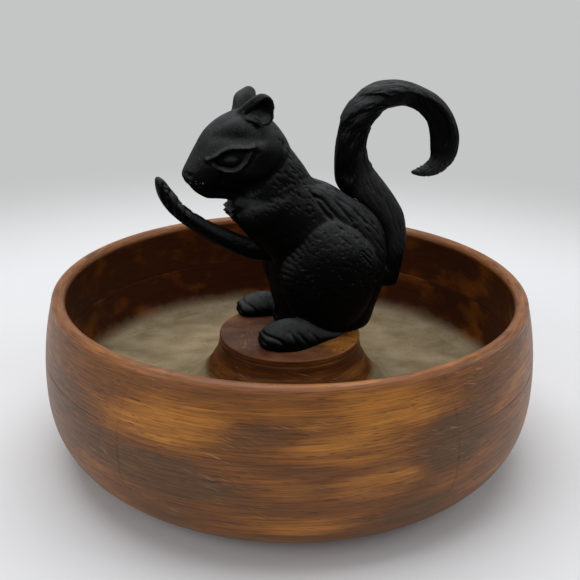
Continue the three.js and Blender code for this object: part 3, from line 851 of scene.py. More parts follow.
@dataclass(frozen=True)
class Bowl:
    """A round bowl turned from three layers of board, with a bead along its mouth.

    The joints of each ring's narrow boards are flat planes before and behind the axis. Seen from
    above, the boards' fibres lie along a line turned a little from X.
    """

    base_radius: float = 80.0
    belly_radius: float = 127.0
    belly_height: float = 47.6
    wall: float = 8.4
    bead_radius: float = 3.5
    mouth_inset: float = 8.6
    floor_fillet: float = 14.0
    floor_height: float = 29.5
    land_radius: float = 57.0
    land_runout: float = 7.0
    base_board: float = 30.5
    middle_board: float = 29.0
    rim_board: float = 30.0
    rollover: float = 2.56
    joint_inset: float = 24.0
    seam_ease: float = 0.25
    seam_width: float = 0.35
    lip_band: tuple[float, float] = (4.6, 2.2)
    turn_degrees: float = -20.0
    sides: int = 256
    stains: tuple[tuple[float, float, float, float, float], ...] = (
        (-25.0, 68.0, 11.5, 10.5, 1.0), (-56.0, 58.0, 12.0, 30.0, -0.9), (-28.0, 45.0, 17.0, 11.0, -1.2),
        (-5.0, 70.0, 6.5, 6.5, -0.8), (20.0, 79.0, 10.0, 11.0, 1.1), (12.0, 62.0, 9.0, 8.0, 0.6),
        (19.0, 45.0, 9.0, 6.5, 1.0), (36.0, 56.0, 10.0, 13.0, -1.1), (50.0, 80.0, 12.0, 9.0, -0.4),
        (4.0, 23.0, 10.0, 5.0, 1.0), (28.0, 26.0, 12.0, 6.0, -0.8), (-26.0, 27.0, 13.0, 8.0, -0.6),
    )

    @property
    def top(self) -> float:
        """The height of the bowl's mouth."""
        return self.base_board + self.middle_board + self.rim_board

    @property
    def bead_height(self) -> float:
        """The height of the bead's centre."""
        return self.top - self.bead_radius

    @property
    def bead_centre(self) -> float:
        """The radius of the bead's centre."""
        return self.belly_radius - self.mouth_inset

    @property
    def inner_belly(self) -> float:
        """The inside wall's largest radius."""
        return self.belly_radius - self.wall

    def outer(self, height: np.ndarray) -> np.ndarray:
        """The outside radius: a superellipse up to the belly, then a parabola to the mouth.

        Args:
            height: The heights above the table.

        Returns:
            One radius a height.
        """
        mouth = self.bead_centre + self.bead_radius
        drop = np.clip(1 - height / self.belly_height, 0, 1)
        low = (1 - drop**self.rollover) ** (1 / self.rollover)
        rise = np.clip((height - self.belly_height) / (self.bead_height - self.belly_height), 0, 1)
        below = self.base_radius + (self.belly_radius - self.base_radius) * low
        above = self.belly_radius - (self.belly_radius - mouth) * rise**2
        return np.where(height < self.belly_height, below, above)

    def inner(self, height: np.ndarray) -> np.ndarray:
        """The inside radius: the fillet's quarter circle, then a parabola that leans in.

        Args:
            height: The heights above the table.

        Returns:
            One radius a height.
        """
        fillet_top = self.floor_height + self.floor_fillet
        drop = np.clip(fillet_top - height, 0, self.floor_fillet)
        run = np.sqrt(self.floor_fillet**2 - drop**2)
        below = self.inner_belly - self.floor_fillet + run
        rise = np.clip((height - fillet_top) / (self.bead_height - fillet_top), 0, 1)
        mouth = self.bead_centre - self.bead_radius
        above = self.inner_belly - (self.inner_belly - mouth) * rise**2
        return np.where(height < fillet_top, below, above)

    def eased(
        self, radius: np.ndarray, height: np.ndarray, low: float, high: float, outward: int
    ) -> np.ndarray:
        """Draws a board's edges in by the seam's ease, over the last half millimetre of its height."""
        gap = np.minimum(height - low, high - height)
        return radius - outward * self.seam_ease * bell(gap, self.seam_width)

    def ring_profile(self, low: float, high: float, is_rim: bool) -> tuple[Rows, np.ndarray]:
        """A ring's closed outline, anticlockwise: up the outside, over the top, down the inside.

        Args:
            low: The height of the board's underside.
            high: The height of its top.
            is_rim: Whether the bead closes its top.

        Returns:
            The (radius, height) rows, and how much of the inside each one is, from 0 to 1.
        """
        end = self.bead_height if is_rim else high
        fine = np.linspace(0, 1, 34)
        spaced = low + (end - low) * (0.5 - 0.5 * np.cos(math.pi * fine))
        seam_top = high + self.wall if is_rim else high
        outer = self.eased(self.outer(spaced), spaced, low, seam_top, 1)
        inner = self.eased(self.inner(spaced), spaced, low, seam_top, -1)
        rows = [np.stack([outer, spaced], axis=1)]
        inside = [np.zeros(len(spaced))]
        if is_rim:
            angle = np.linspace(0, math.pi, 22)[1:-1]
            radius = self.bead_centre + self.bead_radius * np.cos(angle)
            rows.append(np.stack([radius, self.bead_height + self.bead_radius * np.sin(angle)], axis=1))
            inside.append(smooth_step(0.45, 0.95, angle / math.pi))
        rows.append(np.stack([inner, spaced], axis=1)[::-1])
        inside.append(np.ones(len(spaced)))
        return np.vstack(rows), np.concatenate(inside)

    def ring_piece(
        self, name: str, low: float, high: float, is_rim: bool, facing: float, narrow: bool
    ) -> Piece:
        """One piece of a ring, between the flat joints of its boards.

        The piece faces an angle from the grain's own front. A point of the outline at radius r
        lies between the two angles at which its circle meets the joint's plane: the arc cosine of
        joint / r away from the front, or what is left of the turn for the wide board's two arcs.

        Args:
            name: The piece's name, which is its node's too.
            low: The height of its underside.
            high: The height of its top.
            is_rim: Whether the bead closes its top.
            facing: The way the piece faces, in degrees from -Y before the grain's turn.
            narrow: Whether it is a narrow board and not an arc of the wide one.

        Returns:
            The finished object.
        """
        profile, inside = self.ring_profile(low, high, is_rim)
        radius, height = profile[:, 0], profile[:, 1]
        joint = self.belly_radius - self.joint_inset
        half = (np.arccos if narrow else np.arcsin)(np.clip(joint / radius, -1, 1))
        steps = np.linspace(-1, 1, self.sides // (4 if narrow else 2) + 1)
        middle = math.radians(facing + self.turn_degrees - 90)
        angle = middle + steps[:, None] * half[None, :]
        points = round_axis(radius, angle, height)
        columns = len(profile)
        grid = grid_faces(len(steps), columns)
        loop = np.arange(columns)
        last = (len(steps) - 1) * columns
        faces = [grid, loop[None, ::-1], last + loop[None, :]]
        piece = put_in(name, Shell(points.reshape(-1, 3), [face[:, ::-1] for face in faces]))
        self.masks(piece, np.tile(inside, len(steps)))
        return piece

    def masks(self, piece: Piece, inside: np.ndarray) -> None:
        """Stores where the piece is inside wall and lip, where the floor's painted reflection goes, and how
        its outside is stained.

        A stain is (degrees from the front, height, half length in degrees, half height, strength):
        full inside half of its ellipse, and gone at 1.5 of it.

        Args:
            piece: The piece of the bowl.
            inside: How much of the inside each of its points is.
        """
        points = get_points(piece.data)
        radius, height = np.hypot(points[:, 0], points[:, 1]), points[:, 2]
        lip = smooth_step(self.top - self.lip_band[0], self.top - self.lip_band[1], height)
        below = smooth_step(self.floor_height + 18, self.floor_height + 5, height)
        add_mask(piece, "inner", inside * (1 - 0.8 * lip))
        add_mask(piece, "lip", lip)
        # Painted reflection: the floor's pale reflection, weaker towards the foot of the wall and up the
        # fillet.
        shadow = smooth_step(self.inner_belly + 1, self.inner_belly - 10, radius)
        add_mask(piece, "floor", inside * below * (0.15 + 0.85 * shadow))
        angle = np.degrees(np.arctan2(points[:, 1], points[:, 0])) - self.turn_degrees + 90
        angle = (angle + 180) % 360 - 180
        tone = np.zeros(len(points))
        for facing, level, half_turn, half_height, strength in self.stains:
            away = np.hypot((angle - facing) / half_turn, (height - level) / half_height)
            tone += strength * smooth_step(1.5, 0.5, away)
        add_mask(piece, "tone", tone)

    def base(self) -> Piece:
        """The base board: the round underside, the floor, and the land the pedestal stands on.

        Returns:
            The board's object, not yet bored or dressed.
        """
        height = self.base_board * np.linspace(0, 1, 40) ** 2
        outer = np.stack([self.eased(self.outer(height), height, -9.0, self.base_board, 1), height], axis=1)
        fillet = np.linspace(self.base_board, self.floor_height, 5)
        inner = np.stack([self.eased(self.inner(fillet), fillet, -9.0, self.base_board, -1), fillet], axis=1)
        run = np.linspace(inner[-1, 0], self.land_radius + self.land_runout, 24)[1:]
        floor = np.stack([run, np.full(len(run), self.floor_height)], axis=1)
        land = np.array([[self.land_radius, self.base_board], [self.land_radius / 2, self.base_board]])
        rows = np.vstack([[[self.base_radius / 2, 0.0]], outer, inner, floor, land])
        sides = 2 * self.sides
        piece = put_in("bowl_base_board", lathe(rows.tolist(), sides))
        inside = np.zeros(len(piece.data.vertices))
        inside[(1 + len(outer)) * sides:] = 1.0
        inside[-2] = 0.0
        self.masks(piece, inside)
        return piece

    def build(self, screws: BaseScrews) -> None:
        """Makes the nine pieces of the bowl and dresses them.

        Args:
            screws: The long screws that the base board is bored for.
        """
        base = self.base()
        for shell in screws.counterbores():
            combine(base, shell, Solver.CUT)
        sharpen(base, FLAT_CORNER)
        dress(base, StainedHardwood("stained_hardwood_base", shift=(17.0, 5.0, 3.0)).make())
        settle(base, PRESS_BODY, "bowl_wood", "bowl_base_board")
        joint = self.base_board + self.middle_board
        layers = (("middle", self.base_board, joint, False), ("rim", joint, self.top, True))
        ways = ("front_board", "right_arc", "back_board", "left_arc")
        for number, (layer, low, high, is_rim) in enumerate(layers):
            shift = (41.0 + 90.0 * number, 11.0 * number, 7.0 + 23.0 * number)
            for quarter, way in enumerate(ways):
                name = f"bowl_{layer}_{way}"
                piece = self.ring_piece(name, low, high, is_rim, 90.0 * quarter, quarter % 2 == 0)
                sharpen(piece, FLAT_CORNER)
                dress(piece, StainedHardwood(f"stained_hardwood_{layer}_{way}", shift=shift).make())
                settle(piece, PRESS_BODY, "bowl_wood", name)


@dataclass(frozen=True)
class Pedestal:
    """The turned block that carries the squirrel: a hollow flare with a flat, sharp-edged top."""

    low: float = 30.5
    height: float = 30.5
    top_radius: float = 37.2
    foot_radius: float = 57.0
    arris: float = 0.8
    sides: int = 256
    flare_shares: tuple[tuple[float, float], ...] = (
        (0.0, 1.0), (0.055, 0.82), (0.13, 0.68), (0.24, 0.53), (0.36, 0.37), (0.5, 0.23), (0.68, 0.08),
        (0.85, 0.012), (0.972, 0.0),
    )

    heel: tuple[float, float] = (30.0, -22.0)
    # The way the front faces: the flare's painted reflection reaches least high there.
    front: tuple[float, float] = (-0.342, -0.94)
    line_drop: float = 3.4
    line_depth: float = 0.3

    def build(self, screws: BaseScrews) -> None:
        """Makes the pedestal: its flare is a smooth curve through the shares, turned about Z.

        Args:
            screws: The long screws that pass through it.
        """
        shares = smooth_rows(self.flare_shares, 150)
        spread = self.foot_radius - self.top_radius
        radius, height = self.top_radius + spread * shares[:, 1], self.low + self.height * shares[:, 0]
        flare = np.stack([radius, height], axis=1)
        angle = np.linspace(0, math.pi / 2, 6)[1:]
        top = self.low + self.height
        flare[:, 0] -= self.line_depth * bell(flare[:, 1] - (top - self.line_drop), 0.45)
        rounded = self.arris * np.stack([np.cos(angle), np.sin(angle)], axis=1)
        edge = np.array([self.top_radius - self.arris, top - self.arris]) + rounded
        crown = [[self.top_radius * share, top] for share in (0.7, 0.4)]
        rows = np.vstack([[[self.foot_radius / 2, self.low]], flare, edge, crown])
        piece = put_in("pedestal", lathe(rows.tolist(), self.sides))
        for shell in screws.shanks(self.low - 2, top + 2, CLEARANCE):
            combine(piece, shell, Solver.CUT)
        sharpen(piece, 50)
        points = get_points(piece.data)
        height = points[:, 2]
        radius = np.hypot(points[:, 0], points[:, 1])
        crown = smooth_step(top - 0.5, top - 0.1, height)
        heel = np.hypot(points[:, 0] - self.heel[0], points[:, 1] - self.heel[1])
        amber = smooth_step(26.0, 8.0, heel)
        rim = smooth_step(top - 6.0, top - 2.0, height) * (1 - crown)
        add_mask(piece, "lip", crown * smooth_step(37.4, 36.0, radius) * (1 - 0.8 * amber))
        # Painted reflection: the flare's foot is painted the floor's pale reflection, reaching lower on the
        # side that faces the front.
        towards = (self.front[0] * points[:, 0] + self.front[1] * points[:, 1]) / np.maximum(radius, 1)
        reach = self.low + 15 - 9 * smooth_step(0.35, 0.95, towards)
        add_mask(piece, "floor", smooth_step(reach, reach - 12, height))
        add_mask(piece, "inner", np.zeros(len(points)))
        add_mask(piece, "tone", 1.2 * amber * crown + 0.2 * rim)
        colours = {"light": 0x8A5820, "warm": 0x52290C, "dark": 0x2E1404, "lip": 0x60402F}
        shift = (120.0, 40.0, 9.0)
        finish = StainedHardwood("stained_hardwood_pedestal", shift=shift, lacquer=0.12, **colours)
        dress(piece, finish.make())
        settle(piece, PRESS_BODY, "pedestal_wood", "pedestal")


# Screws and pins.


def dome(radius: float, seat: float, rise: float, flat: float, shares: np.ndarray) -> list[tuple]:
    """A screw head's rounded top: (R sin a, seat + rise (flat + (1 - flat) cos a)), a in half turns."""
    angle = shares * math.pi
    return [(radius * math.sin(a), seat + rise * (flat + (1 - flat) * math.cos(a))) for a in angle]


@dataclass(frozen=True)
class BaseScrews:
    """Two long screws from under the bowl into the casting, each with a washer."""

    radius: float = 2.5
    head_radius: float = 4.6
    head_height: float = 3.4
    reach: float = 75.0
    x: float = 14.0
    ys: tuple[float, float] = (-3.0, 21.0)
    washer_radius: float = 7.0
    washer_thickness: float = 1.2
    bore_radius: float = 8.5
    bore_depth: float = 8.0
    seat_gap: float = 0.3

    def shanks(self, low: float, high: float, clearance: float) -> list[Shell]:
        """Rods along the screws' axes, for the holes.

        Args:
            low: Where the rods start.
            high: Where they end.
            clearance: What is added to the radius.

        Returns:
            One rod a screw.
        """
        radius = self.radius + clearance
        rod = lathe([(radius, low), (radius, high)], 32)
        return [rod.moved((self.x, y, 0.0)) for y in self.ys]

    def counterbores(self) -> list[Shell]:
        """The holes in the base board: a wide one for the head and a narrow one for the shank."""
        wide = lathe([(self.bore_radius, -2.0), (self.bore_radius, self.bore_depth)], 64)
        return [wide.moved((self.x, y, 0.0)) for y in self.ys] + self.shanks(-2.0, 33.0, CLEARANCE)

    def build(self) -> None:
        """Makes each screw, with a slot across its domed head, and its washer with eased edges."""
        steel = ZincPlatedSteel("zinc_plated_steel_base").make()
        seat = self.bore_depth - self.washer_thickness - self.seat_gap
        head = dome(self.head_radius, seat, -self.head_height, 0.35, np.linspace(0.15, 0.5, 8))
        outline = head + [(self.head_radius, seat), (self.radius, seat), (self.radius, self.reach)]
        slot = box_shell((-6.0, -0.5, 0.0), (6.0, 0.5, seat - self.head_height * 0.62))
        washer = self.washer()
        for name, y in zip(("near", "far"), self.ys):
            screw = put_in(f"base_screw_{name}", lathe(outline, 48).moved((self.x, y, 0.0)))
            combine(screw, slot.moved((self.x, y, 0.0)), Solver.CUT)
            ring = put_in(f"base_washer_{name}", washer.moved((self.x, y, 0.0)))
            for kind, piece in (("screw", screw), ("washer", ring)):
                sharpen(piece, 35)
                dress(piece, steel)
                settle(piece, PRESS_BODY, "steel", f"base_{kind}_{name}")

    def washer(self) -> Shell:
        """A ring with eased edges: a rounded rectangle carried round the screw's axis.

        Returns:
            The ring about Z.
        """
        low, high = self.bore_depth - self.washer_thickness, self.bore_depth
        ease = 0.2
        bore = self.radius + CLEARANCE
        rim = self.washer_radius
        outline = np.array(
            [(bore + ease, low), (rim - ease, low), (rim, low + ease), (rim, high - ease)]
            + [(rim - ease, high), (bore + ease, high), (bore, high - ease), (bore, low + ease)]
        )
        angle = np.arange(48)[:, None] * TURN / 48
        radius, height = outline[None, :, 0], outline[None, :, 1]
        points = round_axis(radius, angle, height)
        quads = grid_faces(49, len(outline)) % (48 * len(outline))
        return Shell(points.reshape(-1, 3), [quads[:, ::-1]])


@dataclass(frozen=True)
class BodyFasteners:
    """What holds the casting's halves together: two slotted screws and two dowels, and the pivot."""

    radius: float = 2.0
    head_radius: float = 3.6
    head_height: float = 2.2
    inside: float = 8.0
    seat_gap: float = 0.3
    places: tuple[tuple[str, float, float], ...] = (("neck", -6.0, 141.0), ("rump", 36.0, 72.5))

    def bores(self) -> list[Shell]:
        """The stepped holes that the screws' heads sit in, from the far side.

        Returns:
            A shank's hole and a head's hole for each screw.
        """
        shells = []
        for _, x, z in self.places:
            shank = lathe([(self.radius + CLEARANCE, -self.inside - 2), (self.radius + CLEARANCE, 30.0)], 32)
            head = lathe([(self.head_radius + 0.3, self.inside), (self.head_radius + 0.3, 30.0)], 40)
            shells += [laid_across(shank, x, MIDDLE, z), laid_across(head, x, MIDDLE, z)]
        return shells

    def build(self) -> None:
        """Makes the screws: a slotted, slightly domed head on a plain shank, laid along Y."""
        steel = ZincPlatedSteel("zinc_plated_steel_body").make()
        seat = self.inside + self.seat_gap
        head = dome(self.head_radius, seat, self.head_height, 0.4, np.linspace(0.5, 0.12, 8))
        outline = [(self.radius, -self.inside), (self.radius, seat), (self.head_radius, seat)] + head
        for where, x, z in self.places:
            screw = put_in(f"body_screw_{where}", laid_across(lathe(outline, 48), x, MIDDLE, z))
            low = MIDDLE + seat + self.head_height * 0.55
            combine(screw, box_shell((x - 6, low, z - 0.45), (x + 6, low + 6, z + 0.45)), Solver.CUT)
            sharpen(screw, 35)
            dress(screw, steel)
            settle(screw, PRESS_BODY, "steel", f"body_screw_{where}")
        for name in ("dowel_pin_head", "dowel_pin_belly"):
            dress(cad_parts[name], steel)
        iron = BlackEnamelledIron("black_enamelled_iron_pin").make()
        dress(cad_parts["pivot_pin"], iron)


# The cast squirrel.


def pin_bore(half: float) -> Shell:
    """The hole for the pivot pin, this far to each side of the middle plane."""
    return laid_across(lathe([(PIN_BORE, -half), (PIN_BORE, half)], 48), *PIVOT)


@dataclass(frozen=True)
class Limb:
    """A limb lofted along a spine beside the casting's middle plane, from rows of shares.

    A row gives how far forward and up its centre is, as shares of reach and rise from the start,
    and then the shares of thickness and of width.
    """

    rows: tuple[tuple[float, float, float, float], ...]
    start: Place
    reach: float
    rise: float
    thickness: float
    width: float
    start_power: float = 2.0

    def rings(self, count: int, grow: float = 0.0) -> tuple[Points, Points, Points]:
        """Centres and half-axes of a fine row of rings square to the spine.

        Args:
            count: How many rings are wanted.
            grow: What is added to each half-axis.

        Returns:
            The centres, and the half-axis vectors in the spine's plane and across it.
        """
        shares = smooth_rows(self.rows, count)
        x, y, z = self.start
        centres = upright(x + shares[:, 0] * self.reach, np.array(y), z + shares[:, 1] * self.rise)
        first = square_to(centres, np.maximum(shares[:, 2], 0.02) * self.thickness / 2 + grow)
        second = along(1, np.maximum(shares[:, 3], 0.02) * self.width / 2 + grow)
        return centres, first, second

    def shell(self, count: int = 120, sides: int = 64, grow: float = 0.0) -> Shell:
        """The limb as a closed surface."""
        centres, first, second = self.rings(count, grow)
        return loft(centres, first, second, sides, self.section(count, sides))

    def section(self, count: int, sides: int) -> np.ndarray:
        """The swell of the rings: squarer near the start, for a limb that runs in a slot."""
        s = np.linspace(0, 1, count)
        return squared(sides, 2 + (self.start_power - 2) * smooth_step(0.36, 0.24, s))


@dataclass(frozen=True)
class Groove:
    """A carved line on both sides of the casting: a smooth track seen from the side.

    The skin sinks by depth * exp(-(d / width)^2) at the distance d from the track, and the line
    fades out where the skin is nearer to the middle plane than it should be.
    """

    track: tuple[tuple[float, float], ...]
    width: float
    depth: float
    from_aside: float = 4.0

    def lift(self, points: Points) -> np.ndarray:
        """How far the groove moves each point along its normal.

        Args:
            points: The skin's points.

        Returns:
            The lift of each point.
        """
        aside = np.abs(points[:, 1] - MIDDLE)
        gap = track_distance(points[:, 0], points[:, 2], list(self.track))
        return -self.depth * bell(gap, self.width) * smooth_step(self.from_aside, self.from_aside + 2, aside)


@dataclass(frozen=True)
class Fold:
    """The edge of an overlapping lock, on both sides: the skin to the right of its track lies lower.

    The drop is sharp at the track and runs out over the reach.
    """

    track: tuple[tuple[float, float], ...]
    depth: float
    reach: float

    def lift(self, points: Points) -> np.ndarray:
        """How far the fold moves each point along its normal, by its signed distance to the track.

        Args:
            points: The skin's points.

        Returns:
            The lift of each point.
        """
        curve = smooth_rows(self.track, 60)
        ways = np.gradient(curve, axis=0)
        ways /= np.linalg.norm(ways, axis=1)[:, None]
        gaps = np.full(len(points), np.inf)
        right, share = np.zeros(len(points)), np.zeros(len(points))
        for number, (place, way) in enumerate(zip(curve, ways)):
            x, z = points[:, 0] - place[0], points[:, 2] - place[1]
            near = np.hypot(x, z) < gaps
            gaps[near] = np.hypot(x, z)[near]
            right[near] = (way[1] * x - way[0] * z)[near]
            share[near] = number / 59
        ends = smooth_step(0, 0.18, share) * smooth_step(1, 0.82, share)
        sunk = smooth_step(-0.4, 0.7, right) * smooth_step(self.reach, 0.25 * self.reach, gaps)
        aside = np.abs(points[:, 1] - MIDDLE)
        return -self.depth * sunk * ends * smooth_step(1.0, 3.5, aside)


def steady(*way: float) -> Callable[[Points], Points]:
    """A flow that goes the same way everywhere."""
    return lambda place: np.array(way)


@dataclass(frozen=True)
class NickField:
    """A patch of short tooled nicks whose strokes follow one flow.

    The patch is a rule on x, the distance a from the middle plane, and z.
    """

    inside: Callable[[np.ndarray, np.ndarray, np.ndarray], np.ndarray]
    flow: Callable[[Points], Points]
    count: int
    length: tuple[float, float]
    width: float
    depth: float
    scatter: float = 0.12

    def lift(self, points: Points, normals: Points, rng: np.random.Generator) -> np.ndarray:
        """How far the patch's nicks move each point along its normal.

        Across a stroke the skin dips as a bell curve, and along it the depth fades out as
        1 - (distance / half length)^2. Where two nicks meet, the deeper one counts.

        Args:
            points: The skin's points.
            normals: Their unit normals.
            rng: The seeded source of the nicks' places.

        Returns:
            The lift of each point.
        """
        lift = np.zeros(len(points))
        places = np.flatnonzero(self.inside(points[:, 0], np.abs(points[:, 1] - MIDDLE), points[:, 2]))
        for place in rng.choice(places, self.count):
            centre, normal = points[place], normals[place]
            way = self.flow(centre) + rng.normal(0, self.scatter, 3)
            way = way - (way @ normal) * normal
            way /= max(np.linalg.norm(way), 1e-6)
            length = rng.uniform(*self.length)
            near = np.flatnonzero(np.abs(points - centre).max(axis=1) < length / 2 + self.width)
            gap = points[near] - centre
            run = gap @ way
            off = np.linalg.norm(gap - run[:, None] * way, axis=1)
            fade = np.clip(1 - (2 * run / length) ** 2, 0, 1)
            lift[near] = np.minimum(lift[near], -self.depth * bell(off, self.width / 2) * fade)
        return lift


@dataclass(frozen=True)
class SquirrelCasting:
    """The body: two iron castings that meet in the middle plane, with a slot for the lever.

    Each rounded form is a loft over elliptical rings. They are fused into one even skin, and what
    the pattern maker carved is pressed into it: face, ears, fur, toes and parting line.
    """

    height: float = 103.0
    depth: float = 78.0
    width: float = 48.0
    voxel: float = 0.56
    torso: tuple = (
        (0, 0.276, 0.64, 0.84, 2.7), (0.03, 0.28, 0.68, 0.88, 2.6), (0.09, 0.3, 0.7, 0.9, 2.4),
        (0.185, 0.308, 0.79, 0.9, 2.3), (0.28, 0.316, 0.82, 0.9, 2.2), (0.38, 0.309, 0.856, 0.9, 2.0),
        (0.475, 0.235, 0.955, 0.9, 2.0), (0.553, 0.167, 0.985, 0.89, 2.05),
        (0.631, 0.085, 0.935, 0.85, 2.2), (0.69, 0.018, 0.81, 0.8, 2.4), (0.738, -0.03, 0.705, 0.74, 2.5),
        (0.786, -0.083, 0.53, 0.68, 2.5), (0.864, -0.09, 0.39, 0.6, 2.4), (0.942, -0.103, 0.26, 0.46, 2.2),
        (1, -0.115, 0.13, 0.25, 2.0),
    )
    head: tuple = (
        (0.007, -0.2, 0.1, 0.13), (0.025, -0.21, 0.2, 0.29), (0.07, -0.2, 0.37, 0.47),
        (0.134, -0.155, 0.55, 0.62), (0.214, -0.095, 0.735, 0.74), (0.32, -0.047, 0.86, 0.834),
        (0.43, -0.024, 0.945, 0.914), (0.536, -0.006, 0.985, 0.97), (0.643, 0.013, 0.96, 0.994),
        (0.75, 0.013, 0.826, 0.95), (0.857, 0, 0.61, 0.8), (0.946, -0.022, 0.37, 0.514),
        (1, -0.033, 0.13, 0.23),
    )
    head_start: tuple[float, float] = (-54.0, 96.0)
    head_size: Place = (56.0, 35.0, 46.0)
    brow_taper: float = 0.26
    haunch_start: Place = (21.0, 14.5, 1.0)
    haunch_size: Place = (52.0, 27.0, 65.0)
    foot_start: tuple[float, float] = (-22.0, 24.5)
    foot_size: Place = (53.0, 22.5, 12.4)
    far_foot_back: float = 2.0
    ear_rim: tuple = (
        (-25.3, 3.0, 177.4), (-21.5, 0.0, 181.7), (-18.4, -2.5, 184.9), (-15.4, -4.0, 186.8),
        (-12.6, -4.5, 185.9), (-11.3, -5.0, 183.2), (-11.5, -5.5, 179.5), (-12.1, -6.0, 175.9),
        (-14.7, -6.0, 173.2), (-18.3, -5.0, 172.5), (-20.6, -3.0, 174.3), (-24.0, 0.5, 175.4),
    )
    ear_stages: tuple = (
        (0.35, 0.0, 14.0, -8.0), (0.7, -1.0, 11.2, -5.0), (0.95, -1.8, 8.0, -1.8), (1.04, -1.8, 4.6, 0.0),
        (1.06, -1.2, 2.0, 0.6), (1.02, 0.0, 0.0, 0.0), (0.95, 0.0, -0.5, 0.0), (0.5, 0.0, -0.3, 0.0),
    )
    hollow_stages: tuple = (
        (0.8, 0.0, -7.0, 0.0), (0.8, 0.0, -0.6, 0.0), (0.7, 0.3, 0.3, 0.1), (0.6, 0.9, 0.9, 0.6),
        (0.54, 0.7, 2.0, 0.6), (0.44, 0.7, 3.4, 0.6), (0.3, 0.7, 4.4, 0.5), (0.16, 0.7, 4.8, 0.5),
        (0.06, 0.7, 4.9, 0.5),
    )
    far_ear_push: float = 2.4
    haunch: tuple = (
        (0.012, -0.045, 0.534, 0.55), (0.092, -0.028, 0.71, 0.78), (0.215, -0.015, 0.857, 0.92),
        (0.338, -0.019, 0.978, 1), (0.462, -0.028, 1.033, 1), (0.569, -0.024, 1.013, 0.98),
        (0.677, -0.023, 0.911, 0.93), (0.769, -0.041, 0.767, 0.85), (0.862, -0.071, 0.608, 0.73),
        (0.923, -0.077, 0.43, 0.58), (0.969, -0.055, 0.21, 0.36), (0.989, -0.055, 0.09, 0.16),
    )
    foot: tuple = (
        (0.02, 0.22, 0.35, 0.42, 0.93), (0.05, 0.28, 0.84, 0.62, 0.93), (0.15, 0.28, 1.32, 0.86, 0.975),
        (0.28, 0.24, 1.68, 0.955, 0.985), (0.38, 0.19, 1.7, 0.93, 0.97), (0.5, 0.13, 1.36, 0.87, 0.9),
        (0.66, 0.08, 0.84, 0.7, 0.816), (0.83, 0.0, 0.4, 0.52, 0.735), (0.93, 0.0, 0.2, 0.27, 0.69),
    )
    far_foot_height: float = 0.76
    shoulder: tuple = (
        (9.0, 137.0, 3.0, 4.0), (4.0, 135.0, 9.0, 10.5), (-4.0, 132.0, 12.6, 13.4),
        (-12.0, 129.0, 13.2, 13.6), (-19.0, 127.0, 11.4, 12.4), (-25.0, 125.8, 7.4, 9.4),
        (-28.4, 125.4, 2.8, 4.6),
    )
    upper_lid: tuple = (
        (-43.4, 157.4), (-41.6, 158.0), (-39.0, 159.6), (-36.8, 161.1), (-34.4, 162.2), (-31.5, 162.8),
        (-27.2, 162.7), (-24.3, 162.8), (-21.7, 163.7),
    )
    lower_lid: tuple = (
        (-43.4, 156.9), (-41.3, 154.9), (-39.6, 153.2), (-36.8, 152.0), (-32.8, 151.6), (-29.7, 152.5),
        (-26.6, 155.4), (-24.6, 158.9), (-22.4, 162.6),
    )
    eyeball: tuple[float, float, float, float] = (-33.0, 156.3, 3.6, 2.7)
    face_spots: tuple = (
        (-1.2, (-29.0, 167.4), (11.0, 2.9)), (0.8, (-31.0, 174.0), (8.0, 4.0)),
        (1.2, (-26.0, 149.5), (8.0, 4.0)), (-1.2, (-34.5, 146.5), (3.4, 4.5)),
    )
    teeth: tuple = (
        (0, 0), (-4.4, 1.3), (-2.95, 2.6), (-4.4, 3.9), (-2.95, 5.2), (-4.4, 6.5), (-2.95, 7.8), (0, 9.1),
    )
    teeth_root: tuple[float, float] = (-27.0, 122.6)
    teeth_width: float = 14.0
    fur_rows: tuple = (
        ("cheek", (0.6, 0.0, -0.75), 30, (1.6, 3.2), 1.0, 0.5, 0.3),
        ("neck", (0.68, 0.0, -0.72), 230, (1.8, 4.2), 0.8, 0.4, 0.28),
        ("nape", (0.5, 0.0, -0.85), 80, (2.5, 5.0), 0.95, 0.45, 0.2),
        ("back", (0.68, 0.0, -0.72), 190, (4.0, 10.0), 0.95, 0.45, 0.1),
        ("haunch", (0.85, 0.0, -0.5), 380, (1.2, 3.4), 0.75, 0.38, 0.4),
        ("belly", (0.1, 0.0, -1.0), 110, (2.5, 5.0), 1.1, 0.4),
        ("nose", (0.4, 0.3, 0.6), 46, (0.8, 1.2), 0.9, 0.4, 0.6),
    )
    dowel_size: tuple[float, float] = (1.75, 5.3)
    dowel_places: tuple[tuple[float, float], ...] = ((-30.0, 158.0), (3.0, 80.0))
    screw_end: float = 77.0

    def shells(self) -> list[Shell]:
        """The rounded forms of the body, before they are fused.

        Returns:
            One closed form each.
        """
        forms = [self.torso_shell(), self.head_shell()]
        for side in (-1, 1):
            forms += [self.ear_form(side, self.ear_stages), self.haunch_shell(side)]
            forms += [self.foot_shell(side), self.shoulder_shell(side), self.muzzle_pad(side)]
        return forms

    def torso_shell(self) -> Shell:
        """The torso: flat rings stacked from the pedestal to the nape, squarer where it is full.

        Returns:
            The closed form.
        """
        rows = smooth_rows(self.torso, 110)
        centres = upright(rows[:, 1] * self.depth, np.array(MIDDLE), STAND + rows[:, 0] * self.height)
        swell = squared(120, rows[:, 4])
        deep, wide = rows[:, 2] * self.depth / 2, rows[:, 3] * self.width / 2
        return loft(centres, along(0, deep), along(1, wide), 120, swell)

